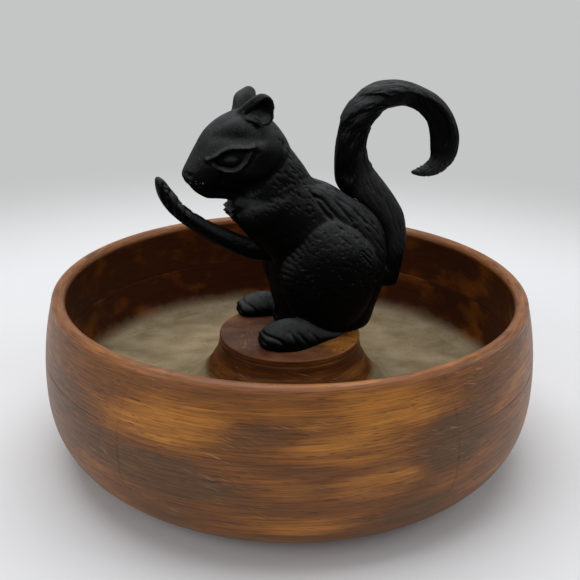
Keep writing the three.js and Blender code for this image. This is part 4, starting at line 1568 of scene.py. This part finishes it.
    def head_shell(self) -> Shell:
        """The head: upright ellipses from the nose to the nape, narrower towards the brow.

        The upper half of each ring draws in to the middle plane by the taper times the square of
        the point's share of the half height.

        Returns:
            The closed form.
        """
        rows = smooth_rows(self.head, 100)
        start, rise = self.head_start
        long, wide, tall = self.head_size
        centres = upright(start + rows[:, 0] * long, np.array(MIDDLE), STAND + rise + rows[:, 1] * tall)
        first = along(1, np.maximum(rows[:, 3], 0.05) * wide / 2)
        shell = loft(centres, first, along(2, np.maximum(rows[:, 2], 0.05) * tall / 2), 96)
        upper = np.maximum(np.sin(np.arange(96) * TURN / 96), 0)
        taper = np.tile(1 - self.brow_taper * upper**2, 100)
        points = shell.points[:-2]
        points[:, 1] = MIDDLE + (points[:, 1] - MIDDLE) * taper
        return shell

    def muzzle_pad(self, side: int) -> Shell:
        """The puffed whisker pad beside the nose: a small egg along the snout.

        Args:
            side: -1 for the near side and 1 for the far one.

        Returns:
            The closed form.
        """
        t = np.linspace(0.02, 0.98, 30)
        half = np.sqrt(1 - (2 * t - 1) ** 2)
        centres = upright(-51.0 + 12.5 * t, MIDDLE + side * (4.0 + 5.4 * t), 149.4 - 0.8 * t)
        return loft(centres, along(1, 5.2 * half), along(2, 5.2 * half), 40)

    def ear_form(self, side: int, stages: tuple) -> Shell:
        """A form that follows the ear's rim: the whole ear, or what is scooped out of it.

        Each ring is the rim, scaled about its middle and shifted back, inwards and up. The far ear
        bulges forward and up a little more, by a bell curve about its front edge.

        Args:
            side: -1 for the near ear and 1 for the far one.
            stages: For each stage its scale and its three shifts.

        Returns:
            The closed form.
        """
        rim = np.asarray(self.ear_rim, float)
        rim = smooth_rows(np.vstack([rim[-2:], rim, rim[:3]]), 73, 2)[:-1]
        middle = rim.mean(axis=0)
        steps = smooth_rows(stages, 40)
        rings = middle + steps[:, None, 1:] + steps[:, :1, None] * (rim - middle)
        if side > 0:
            rings[:, :, 1] = 2 * MIDDLE - rings[:, :, 1]
            push = self.far_ear_push * bell(np.hypot(rings[:, :, 0] + 21.5, rings[:, :, 2] - 182.5), 5.0)
            rings[:, :, 0] -= push
            rings[:, :, 2] += 0.6 * push
        return capped(rings, [rings[0].mean(axis=0), rings[-1].mean(axis=0)]).outward()

    def haunch_shell(self, side: int) -> Shell:
        """A haunch: flat ellipses stacked from the foot to the top of the thigh.

        Args:
            side: -1 for the near side and 1 for the far one.

        Returns:
            The closed form.
        """
        rows = smooth_rows(self.haunch, 80)
        x, aside, rise = self.haunch_start
        long, wide, tall = self.haunch_size
        y = np.array(MIDDLE + side * aside)
        centres = upright(x + rows[:, 1] * long, y, STAND + rise + rows[:, 0] * tall)
        return loft(centres, along(0, rows[:, 2] * long / 2), along(1, rows[:, 3] * wide / 2), 80)

    def foot_shell(self, side: int) -> Shell:
        """A foot: upright ellipses from the toes to the heel.

        Args:
            side: -1 for the near side and 1 for the far one.

        Returns:
            The closed form.
        """
        rows = smooth_rows(self.foot, 60)
        start, aside = self.foot_start
        long, wide, tall = self.foot_size
        y = MIDDLE + side * rows[:, 4] * aside
        back, tall = (0.0, tall) if side < 0 else (self.far_foot_back, tall * self.far_foot_height)
        centres = upright(back + start + rows[:, 0] * (long - back), y, STAND + rows[:, 1] * tall)
        return loft(centres, along(1, rows[:, 3] * wide / 2), along(2, rows[:, 2] * tall / 2), 64)

    def shoulder_shell(self, side: int) -> Shell:
        """A shoulder: rings along a spine that comes forward and down to the elbow.

        Args:
            side: -1 for the near side and 1 for the far one.

        Returns:
            The closed form.
        """
        rows = smooth_rows(self.shoulder, 70)
        centres = upright(rows[:, 0], np.array(MIDDLE + side * 5.6), rows[:, 1])
        first = square_to(centres, np.maximum(rows[:, 2], 0.5))
        return loft(centres, first, along(1, np.maximum(rows[:, 3], 0.5)), 56)

    def teeth_shell(self) -> Shell:
        """The biting ridges under the chin: a saw-tooth outline carried across the chest.

        Returns:
            The closed form.
        """
        outline = np.asarray(self.teeth, float)
        x, z = self.teeth_root[0] + outline[:, 0], self.teeth_root[1] + outline[:, 1]
        half = self.teeth_width / 2
        rows = [np.stack([x, np.full(len(x), MIDDLE + y), z], axis=1) for y in (-half, half)]
        loop = np.arange(len(x))
        side = grid_faces(2, len(x))
        return Shell(np.vstack(rows), [side, loop[None, ::-1], (len(x) + loop)[None]]).outward()

    def face(self, points: Points) -> np.ndarray:
        """What the pattern's face adds to the head: lids, eyes, cheeks, mouth and nose.

        The eye is an almond between two lid curves: sunk, with a lens-shaped ball in it and a
        rounded ridge along each lid.

        Args:
            points: The skin's points.

        Returns:
            The lift of each point along its normal.
        """
        x, z = points[:, 0], points[:, 2]
        aside = np.abs(points[:, 1] - MIDDLE)
        part = smooth_step(5.0, 8.0, aside) * smooth_step(132, 137, z) * smooth_step(1, -4, x)
        upper, lower = np.array(self.upper_lid), np.array(self.lower_lid)
        above = np.interp(x, upper[:, 0], upper[:, 1]) - z
        below = z - np.interp(x, lower[:, 0], lower[:, 1])
        across = smooth_step(-42.8, -41.2, x) * smooth_step(-22.4, -24.4, x)
        almond = smooth_step(0.4, 1.4, np.minimum(above, below)) * across
        eye_x, eye_z, half_x, half_z = self.eyeball
        ball = np.sqrt(np.clip(1 - ((x - eye_x) / half_x) ** 2 - ((z - eye_z) / half_z) ** 2, 0, 1))
        lift = -2.5 * almond + 2.3 * ball
        lift += 1.2 * bell(track_distance(x, z, list(self.upper_lid)), 1.15)
        lift += 1.0 * bell(track_distance(x, z, list(self.lower_lid)), 1.05)
        for height, at, half in self.face_spots:
            lift += height * spot(x, z, at, half)
        lift -= 3.0 * smooth_step(151.5, 141, z) * smooth_step(-45, -37, x) * smooth_step(-13, -23, x)
        lift = lift * part
        nostril = np.hypot(x + 51.6, z - 149.0)
        return lift - 0.8 * bell(nostril, 1.1) * smooth_step(1.0, 2.5, aside)

    def grooves(self) -> list[Groove]:
        """The carved lines: head, back strands, toes, and the strokes round the thigh.

        The strokes run outwards from a point in the thigh, at even angles, across its edge.

        Returns:
            The lines, in the order that they are carved.
        """
        lines = [
            Groove(((-4.5, 162.0), (-6.5, 156.0), (-10.4, 150.5), (-15.8, 146.0), (-23.0, 141.5)), 2.2, 1.1),
            Groove(((-42.4, 156.6), (-39.6, 153.6), (-37.6, 149.8), (-37.0, 145.0)), 1.6, 1.5),
            Groove(((-26.0, 153.4), (-23.4, 156.4), (-20.9, 160.4)), 1.2, 0.7, 8.0),
            Groove(((-21.0, 178.0), (-18.6, 172.0), (-18.2, 167.0)), 2.4, 1.0),
            Groove(((10.2, 136.5), (13.7, 134.6), (18.4, 128.6), (24.1, 122.9), (32.6, 118.2)), 0.9, 1.0),
            Groove(((14.5, 143.0), (18.6, 137.4), (24.3, 129.1), (30.1, 121.5)), 0.9, 1.0),
            Groove(((20.0, 138.0), (25.0, 132.8), (32.6, 126.9), (39.5, 119.1)), 0.8, 0.8),
            Groove(((7.5, 139.0), (10.2, 134.5), (14.4, 128.3), (18.2, 124.4)), 0.9, 0.9),
            Groove(((26.0, 136.5), (29.5, 132.8), (38.2, 125.8), (45.3, 117.0)), 0.7, 0.6),
            Groove(((-21.0, 69.0), (-16.0, 68.2), (-12.6, 66.2), (-11.0, 62.4)), 0.8, 0.8, 9.0),
            Groove(((-21.8, 66.0), (-18.6, 64.0), (-16.8, 61.6)), 0.7, 0.6, 9.0),
            Groove(((-8.4, 71.0), (-6.4, 67.6), (-4.6, 63.6)), 0.8, 0.6, 14.0),
            Groove(((-3.6, 70.0), (-0.6, 66.2), (1.6, 63.0)), 0.8, 0.6, 14.0),
            Groove(((3.4, 69.0), (6.8, 65.2), (8.6, 62.4)), 0.8, 0.55, 12.0),
        ]
        for number, degrees in enumerate(np.linspace(184, 76, 25)):
            wobble = number * 0.618 % 1
            angle = math.radians(degrees + 5 * wobble)
            across, up = math.cos(angle) * 26.5, math.sin(angle) * 28
            shares = np.linspace(0.76 + 0.12 * wobble, 0.92 + 0.07 * (number * 0.382 % 1), 3)
            track = tuple((18 + across * share, 94.5 + up * share) for share in shares)
            lines.append(Groove(track, 0.45, 0.1 + 0.3 * wobble, 13.0))
        return lines

    def build(self, lever: TailLever) -> None:
        """Makes the casting, cuts the lever's slot and the holes, and parts it in two.

        Args:
            lever: The lever whose sweep is cut out.
        """
        whole = fuse("squirrel", self.shells(), self.voxel, 5)
        self.carve(whole)
        combine(whole, self.teeth_shell(), Solver.JOIN)
        hollows = [self.ear_form(side, self.hollow_stages) for side in (-1, 1)]
        for tool in [*hollows, *lever.sweep(), *self.holes()]:
            combine(whole, tool, Solver.CUT)
        iron = BlackEnamelledIron("black_enamelled_iron_body").make()
        reach = 400.0
        for side in Side:
            low, high = (-reach, MIDDLE) if side is Side.NEAR else (MIDDLE, reach)
            half = whole.copy()
            half.data = whole.data.copy()
            bpy.context.scene.collection.objects.link(half)
            combine(half, box_shell((-reach, low, STAND), (reach, high, reach)), Solver.KEEP)
            sharpen(half, 50)
            x, _, z = get_points(half.data).T
            # Painted light: a painted highlight on the haunch's top, painted shade on the cheek, darker feet
            # by less painted top light, and painted glints on the nose.
            painted_light = 0.42 * spot(x, z, (20.0, 117.0), (12.0, 8.0))
            painted_shade = 0.45 * spot(x, z, (-27.0, 147.0), (14.0, 7.0))
            add_mask(half, "rub_and_painted_light", painted_light - painted_shade - 0.12 * smooth_step(78, 72, z))
            add_mask(half, "nose_glint_spots", smooth_step(1.0, 0.5, np.hypot((x + 49.5) / 6.5, (z - 145.5) / 3.2)))
            dress(half, iron)
            settle(half, PRESS_BODY, "black_iron", f"squirrel_{side.name.lower()}_half")
        bpy.data.objects.remove(whole)

    def carve(self, whole: Piece) -> None:
        """Presses the face, the carved lines, the fur and the parting line into the skin.

        Args:
            whole: The fused casting, before it is parted.
        """
        points, normals = get_points(whole.data), get_normals(whole.data)
        lift = self.face(points)
        for groove in self.grooves():
            lift += groove.lift(points)
        lift -= 0.25 * bell(points[:, 1] - MIDDLE, 0.5)
        rng = np.random.default_rng(20)
        for field in self.fur():
            lift += field.lift(points, normals, rng)
        set_points(whole.data, points + lift[:, None] * normals)

    def fur(self) -> list[NickField]:
        """The patches of fur strokes, each with its own place and lie.

        Returns:
            The patches, in the order that they are drawn.
        """
        inside = {
            "cheek": lambda x, a, z: (a > 9) & (x > -34) & (x < -8) & (z > 139) & (z < 151),
            "neck": lambda x, a, z: (z > 112) & (z < 152) & (x < 10) & (x > -27) & (z < 150 + 0.8 * x + 8),
            "nape": lambda x, a, z: (z > 138) & (z < 176) & (x > -8) & (x < 16),
            "back": lambda x, a, z: (z > 96) & (z < 146) & (x > 8) & (x + 0.9 * (z - 100) > 36),
            "haunch": lambda x, a, z: (
                (a > 17) & (np.hypot((x - 20) / 24, (z - 92) / 30) < 0.95) & (z > 74)
            ),
            "belly": lambda x, a, z: (z > 66) & (z < 112) & (x < 2) & (a < 20),
            "nose": lambda x, a, z: (x < -45) & (z > 139) & (z < 151),
        }
        return [NickField(inside[name], steady(*way), *rest) for name, way, *rest in self.fur_rows]

    def holes(self) -> list[Shell]:
        """The pin's bore, the fasteners' holes and the dowels' sockets.

        Returns:
            The closed surfaces to cut with.
        """
        fasteners = BodyFasteners()
        pin = pin_bore(60.0)
        radius, half = self.dowel_size
        dowel = lathe([(radius, -half), (radius, half)], 32)
        sockets = [laid_across(dowel, x, MIDDLE, z) for x, z in self.dowel_places]
        shanks = BaseScrews().shanks(STAND - 2, self.screw_end, CLEARANCE)
        return [pin, *fasteners.bores(), *shanks, *sockets]


# The lever: tail and arms in one casting.


@dataclass(frozen=True)
class TailLever:
    """The moving casting: the curled tail is its handle, and the cupped arms bring up the nut."""

    voxel: float = 0.56
    tail_reach: tuple[float, float] = (64.0, 106.0)
    tail_size: tuple[float, float] = (18.0, 19.0)
    arm_reach: tuple[float, float] = (113.0, 58.0)
    arm_size: tuple[float, float] = (11.6, 17.0)
    curl_middle: tuple[float, float] = (58.0, 158.0)
    locks: tuple = ((5, 0.12, 0.0), (11, 0.05, 0.35), (29, 0.022, 0.1))
    tail_rows: tuple = (
        (0.205, -0.118, 0.5, 0.474), (0.212, -0.094, 0.7, 0.611), (0.236, -0.019, 0.74, 0.632),
        (0.262, 0.066, 0.72, 0.663), (0.268, 0.142, 0.73, 0.72), (0.232, 0.236, 0.79, 0.82),
        (0.166, 0.302, 0.82, 0.895), (0.088, 0.362, 0.86, 0.947), (-0.019, 0.426, 1.0, 1),
        (-0.118, 0.483, 1.2, 1), (-0.16, 0.566, 1.0, 0.98), (-0.158, 0.67, 0.88, 0.947),
        (-0.123, 0.75, 0.93, 0.947), (-0.041, 0.82, 0.9, 0.947), (0.067, 0.862, 0.85, 0.947),
        (0.188, 0.875, 0.77, 0.926), (0.305, 0.868, 0.71, 0.895), (0.42, 0.843, 0.69, 0.842),
        (0.525, 0.805, 0.74, 0.842), (0.608, 0.752, 0.79, 0.842), (0.658, 0.69, 0.87, 0.842),
        (0.682, 0.627, 0.92, 0.8), (0.676, 0.562, 0.86, 0.737), (0.628, 0.511, 0.66, 0.632),
        (0.547, 0.483, 0.46, 0.484), (0.466, 0.474, 0.28, 0.316), (0.398, 0.472, 0.09, 0.105),
    )
    arm_rows: tuple = (
        (-0.995, 0.998, 0.167, 0.188), (-0.982, 0.945, 0.45, 0.471), (-0.96, 0.85, 0.64, 0.682),
        (-0.924, 0.748, 0.72, 0.824), (-0.878, 0.66, 0.76, 0.918), (-0.826, 0.58, 0.8, 0.976),
        (-0.762, 0.49, 0.87, 1), (-0.694, 0.408, 0.91, 0.941), (-0.628, 0.338, 0.97, 0.8),
        (-0.558, 0.284, 1, 0.706), (-0.451, 0.234, 1, 0.706), (-0.301, 0.164, 1, 0.706),
        (-0.142, 0.086, 1, 0.706), (0, 0.009, 1.167, 0.706), (0.088, -0.069, 1.083, 0.706),
        (0.133, -0.138, 0.667, 0.529),
    )
    cup_rows: tuple = (
        (-0.9, 0.8, 0.2, 0.25), (-0.868, 0.735, 0.55, 0.6), (-0.8, 0.63, 0.74, 0.8),
        (-0.725, 0.535, 0.8, 0.8), (-0.66, 0.462, 0.78, 0.64), (-0.6, 0.405, 0.7, 0.52),
        (-0.54, 0.36, 0.5, 0.42), (-0.5, 0.34, 0.2, 0.2),
    )
    fingers: tuple = (
        ((-63.8, 146.0), (-64.6, 140.0), (-63.6, 134.6)), ((-60.6, 141.8), (-61.6, 136.0), (-60.0, 129.0)),
        ((-56.8, 137.0), (-57.4, 131.0), (-56.0, 124.4)), ((-53.0, 133.0), (-54.0, 127.6), (-52.6, 121.4)),
    )

    folds: tuple = (
        (((41.2, 169.6), (39.9, 161.5), (38.0, 153.3), (35.6, 145.2), (32.6, 135.9)), 2.2, 13.0),
        (
            ((25.1, 161.4), (28.1, 167.3), (32.3, 172.6), (37.6, 176.3), (44.7, 178.0), (51.2, 179.6)),
            1.1, 6.0,
        ),
        (((28.3, 157.0), (33.7, 163.4), (37.9, 169.3), (41.0, 173.6), (46.9, 177.2)), 0.9, 4.0),
        (((34.0, 181.0), (38.9, 183.7), (46.5, 184.4), (54.4, 183.0), (62.1, 184.7)), 1.0, 5.0),
        (
            ((58.0, 186.6), (71.4, 181.2), (81.0, 175.6), (87.4, 168.0), (89.8, 160.4), (88.7, 150.0)),
            1.3, 11.0,
        ),
    )

    def limbs(self) -> tuple[Limb, Limb, Limb]:
        """The tail, the arms, and the hollow between the hands.

        Returns:
            The three limbs.
        """
        tail = Limb(self.tail_rows, PIVOT, *self.tail_reach, *self.tail_size, 3.0)
        arms = [Limb(rows, PIVOT, *self.arm_reach, *self.arm_size) for rows in (self.arm_rows, self.cup_rows)]
        return tail, *arms

    def sweep(self) -> list[Shell]:
        """Everything the lever passes through between its stops, with its running clearance.

        Returns:
            The grown limbs at four turns each.
        """
        tail, arm, _ = self.limbs()
        shells = []
        for limb in (tail, arm):
            grown = limb.shell(90, 48, 0.5)
            for share in np.linspace(0, 1, 4):
                turn = math.radians(CLOSING_DEGREES * share)
                gap = grown.points - np.asarray(PIVOT)
                x = gap[:, 0] * math.cos(turn) + gap[:, 2] * math.sin(turn)
                z = gap[:, 2] * math.cos(turn) - gap[:, 0] * math.sin(turn)
                points = np.stack([x, gap[:, 1], z], axis=1) + np.asarray(PIVOT)
                shells.append(Shell(points, grown.faces))
        return shells

    def tail_shell(self) -> Shell:
        """The tail, with locks of fur that wind round it above the bend.

        A lock's phase is u = n a / turn - twist(s), for the angle a and the share s of the tail's
        length. Across a lock the skin falls slowly and then steps up, as 1 - depth * frac(u)^1.4,
        so that each lock overlaps the next, and the outer edge is calmer. The faces lean in to the
        back edge below the bend, and to the inner edge past the top.

        Returns:
            The closed form.
        """
        tail, _, _ = self.limbs()
        count, sides = 470, 170
        centres, first, second = tail.rings(count)
        s = np.linspace(0, 1, count)[:, None]
        angle = (np.arange(sides) * TURN / sides)[None, :]
        twist = 3.7 * smooth_step(0.3, 0.6, s) + 0.9 * s
        bend = 0.22 * np.sin(2 * angle - 9 * s) + 0.12 * np.sin(5 * angle + 23 * s)
        ending = smooth_step(1.0, 0.9, s)
        calm = 1 - 0.7 * ((1 - np.cos(angle)) / 2) ** 2
        fade = smooth_step(0.34, 0.44, s) * ending * calm
        swell = tail.section(count, sides) + 0.05 * fade
        for locks, depth, offset in self.locks:
            phase = locks * (angle - twist + bend) / TURN + offset
            part = phase - np.floor(phase)
            edge = smooth_step(1.0, 0.86, part)
            swell -= fade * depth * part**1.4 * edge
        inner = (1 + np.cos(angle)) / 2
        shell = loft(centres, first, second, sides, swell)
        upper, lower = smooth_step(0.56, 0.68, s) * ending, smooth_step(0.38, 0.3, s)
        lean = 1 - (0.5 * upper + 0.42 * lower) * inner
        points = shell.points[:-2]
        points[:, 1] = MIDDLE + (points[:, 1] - MIDDLE) * lean.ravel()
        return shell

    def between_arms(self, points: Points, normals: Points) -> np.ndarray:
        """The valley between the two arms, along their upper side.

        Args:
            points: The skin's points.
            normals: Their unit normals.

        Returns:
            The lift of each point.
        """
        x, z = points[:, 0], points[:, 2]
        run = smooth_step(-52, -46, x) * smooth_step(-2, -12, x) * smooth_step(134, 128, z)
        facing = smooth_step(0.0, 0.5, normals[:, 2])
        return -3.4 * run * facing * bell(points[:, 1] - MIDDLE, 2.6)

    def round_curl(self, place: Points) -> Points:
        """The way the fur lies in the curl: round its middle, and a little inwards."""
        x, z = place[0] - self.curl_middle[0], place[2] - self.curl_middle[1]
        return np.array([z - 0.4 * x, 0.0, -x - 0.4 * z]) / 30

    def strands(self) -> list[NickField]:
        """Fine fur: along the arms, straight down the lower tail, and inwards round the curl.

        Returns:
            The patches, in the order that they are drawn.
        """
        inside = {
            "arm": lambda x, a, z: (x > -64) & (x < -14) & (z > 108) & (z < 150),
            "low": lambda x, a, z: (z < 150) & (z > 92) & (x > 33),
            "curl": lambda x, a, z: (z > 140) & (x > 20),
        }
        return [
            NickField(inside["arm"], steady(0.75, 0.0, -0.66), 60, (1.5, 4.0), 0.9, 0.5, 0.3),
            NickField(inside["low"], steady(0.5, 0.0, -0.86), 130, (7.0, 16.0), 0.9, 0.5, 0.05),
            NickField(inside["curl"], self.round_curl, 260, (5.0, 12.0), 0.9, 0.42, 0.1),
        ]

    def build(self) -> None:
        """Makes the lever: fused, carved, hollowed, bored and dressed."""
        _, arm, cup = self.limbs()
        lever = fuse("tail_lever", [self.tail_shell(), arm.shell(160, 80)], self.voxel, 1)
        points, normals = get_points(lever.data), get_normals(lever.data)
        lift = np.zeros(len(points))
        for track in self.fingers:
            lift += Groove(track, 0.8, 1.3, 2.0).lift(points)
        lift += self.between_arms(points, normals)
        for track, depth, reach in self.folds:
            lift += Fold(track, depth, reach).lift(points)
        rng = np.random.default_rng(7)
        for field in self.strands():
            lift += field.lift(points, normals, rng)
        set_points(lever.data, points + lift[:, None] * normals)
        combine(lever, cup.shell(60, 48).moved((-1.0, 0.0, 1.0)), Solver.CUT)
        combine(lever, pin_bore(30.0), Solver.CUT)
        sharpen(lever, 60)
        x, _, z = get_points(lever.data).T
        # Painted highlight on the lower part of the tail.
        painted_light = smooth_step(33, 40, x) * smooth_step(92, 104, z) * smooth_step(152, 140, z)
        add_mask(lever, "rub_and_painted_light", 0.34 * painted_light)
        dress(lever, BlackEnamelledIron("black_enamelled_iron_lever").make())
        settle(lever, LEVER_BODY, "black_iron", "tail_lever")


# The photographer's table, lamps and camera.


@dataclass(frozen=True)
class Studio:
    """A pale table under broad soft lamps, and the camera at the photograph's height and turn."""

    reach: float = 6000.0
    camera_place: Place = (-158.58, -435.41, 266.10)
    camera_right: Place = (0.93969, -0.34202, 0.0)
    camera_forward: Place = (0.31844, 0.87491, -0.36488)
    roll_degrees: float = 0.74
    lens: float = 58.97
    sensor: float = 36.0
    near_tint: int = 0xE2E3E5
    far_tint: int = 0xC4C6C5
    sky: tuple[float, float, float, float] = (0.26, 0.26, 0.265, 1.0)
    lamps: tuple[tuple[str, Place, float, float], ...] = (
        ("lamp_top", (10.0, 180.0, 1150.0), 1100.0, 12.6),
        ("lamp_left", (-1000.0, -150.0, 500.0), 700.0, 2.6),
        ("lamp_right", (950.0, -320.0, 550.0), 700.0, 2.6),
        ("lamp_front", (-350.0, -1200.0, 800.0), 800.0, 1.6),
    )

    def seen(self, graph: Graph) -> Socket:
        """1 for what the camera, a mirror or a clear piece sees, and 0 for light that falls.

        Args:
            graph: The graph of a material or of the world.

        Returns:
            The number's socket.
        """
        path = graph.add("LightPath").node.outputs
        rays = path["Is Camera Ray"]
        for kind in ("Is Glossy Ray", "Is Transmission Ray"):
            rays = graph.add("Math", {0: rays, 1: path[kind]}, operation="MAXIMUM")
        return rays

    def table_finish(self) -> Material:
        """Matt pale paper that keeps the shadow near by and runs out into plain grey far off."""
        material, graph, place = Finish("matt_pale_paper").blank()
        add = graph.add
        away = add("VectorMath", {0: place}, "Value", operation="LENGTH")
        far = add("MapRange", {0: away, 1: 0.3, 2: 0.62}, interpolation_type="SMOOTHSTEP")
        cloud = add("TexNoise", {"Vector": place, "Scale": 2.5, "Detail": 2.0})
        tone = add("MapRange", {0: cloud, 1: 0.2, 2: 0.8, 3: 0.985, 4: 1.0})
        paper = add("VectorMath", {0: srgb(self.near_tint)[:3], "Scale": tone}, operation="SCALE")
        matt = add("BsdfDiffuse", {"Color": paper, "Roughness": 0.3})
        plain = add("Emission", {"Color": srgb(self.far_tint), "Strength": 1.0})
        part = add("Math", {0: far, 1: self.seen(graph)}, operation="MULTIPLY")
        mixed = add("MixShader", {0: part, 1: matt, 2: plain})
        under = add("NewGeometry", out="Backfacing")
        whole = add("MixShader", {0: under, 1: mixed, 2: add("BsdfTransparent")})
        add("OutputMaterial", {"Surface": whole})
        return material

    def build_table(self) -> None:
        """A round table top at the bowl's underside: rings of points about Z."""
        radius = np.linspace(0, 1, 12)[1:, None] ** 2 * self.reach
        angle = np.arange(96)[None, :] * TURN / 96
        rings = round_axis(radius, angle, 0.0)
        points = np.vstack([rings.reshape(-1, 3), np.zeros((1, 3))])
        start = np.arange(96)
        fan = np.stack([np.full(96, len(points) - 1), start, (start + 1) % 96], axis=1)
        table = put_in("table_top", Shell(points, [grid_faces(11, 96)[:, ::-1], fan]))
        dress(table, self.table_finish())
        table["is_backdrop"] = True

    def build_lamps(self) -> None:
        """Square soft lamps turned towards the object, and an even grey sky."""
        target = Vector((0.0, 0.0, 70.0)) * MM
        for name, place, size, power in self.lamps:
            light = bpy.data.lights.new(name, "AREA")
            light.shape, light.size, light.energy = "SQUARE", size * MM, power
            lamp = bpy.data.objects.new(name, light)
            lamp.location = Vector(place) * MM
            lamp.rotation_euler = (target - lamp.location).to_track_quat("-Z", "Y").to_euler()
            bpy.context.scene.collection.objects.link(lamp)
        world = bpy.data.worlds.new("studio_air")
        world.use_nodes = True
        world.node_tree.nodes.clear()
        graph = Graph(world.node_tree)
        inputs = {0: self.seen(graph), 6: self.sky, 7: srgb(self.far_tint)}
        tint = graph.add("Mix", inputs, 2, data_type="RGBA")
        air = graph.add("Background", {"Color": tint, "Strength": 1.0})
        graph.add("OutputWorld", {"Surface": air})
        bpy.context.scene.world = world

    def build_camera(self) -> None:
        """The camera: its axes come from the photograph's right and forward directions."""
        right, forward = Vector(self.camera_right), Vector(self.camera_forward)
        up = right.cross(forward)
        turn = math.radians(self.roll_degrees)
        across = right * math.cos(turn) + up * math.sin(turn)
        above = up * math.cos(turn) - right * math.sin(turn)
        lens = bpy.data.cameras.new("camera")
        lens.lens, lens.sensor_width, lens.clip_start, lens.clip_end = self.lens, self.sensor, 0.01, 50.0
        camera = bpy.data.objects.new("camera", lens)
        axes = Matrix((across, above, -forward)).transposed().to_4x4()
        camera.matrix_world = Matrix.Translation(Vector(self.camera_place) * MM) @ axes
        bpy.context.scene.collection.objects.link(camera)
        bpy.context.scene.camera = camera

    def build(self) -> None:
        """Sets up table, lamps and camera, with plain colours straight from the scene."""
        self.build_table()
        self.build_lamps()
        self.build_camera()
        bpy.context.scene.view_settings.view_transform = "Standard"


def corners(bounds: tuple[Vector, Vector]) -> list[list[float]]:
    """A box as two plain lists."""
    return [list(bounds[0]), list(bounds[1])]


def main() -> None:
    """Builds the whole press in its studio, and works out how large it came out."""
    logging.basicConfig(level=logging.INFO, format="%(name)s: %(message)s")
    packed = corners(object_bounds())
    Studio().build()
    Bowl().build(BaseScrews())
    Pedestal().build(BaseScrews())
    BaseScrews().build()
    lever = TailLever()
    SquirrelCasting().build(lever)
    lever.build()
    BodyFasteners().build()
    {"cad": packed, "visual": corners(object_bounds())}


if __name__ == "__main__":
    main()
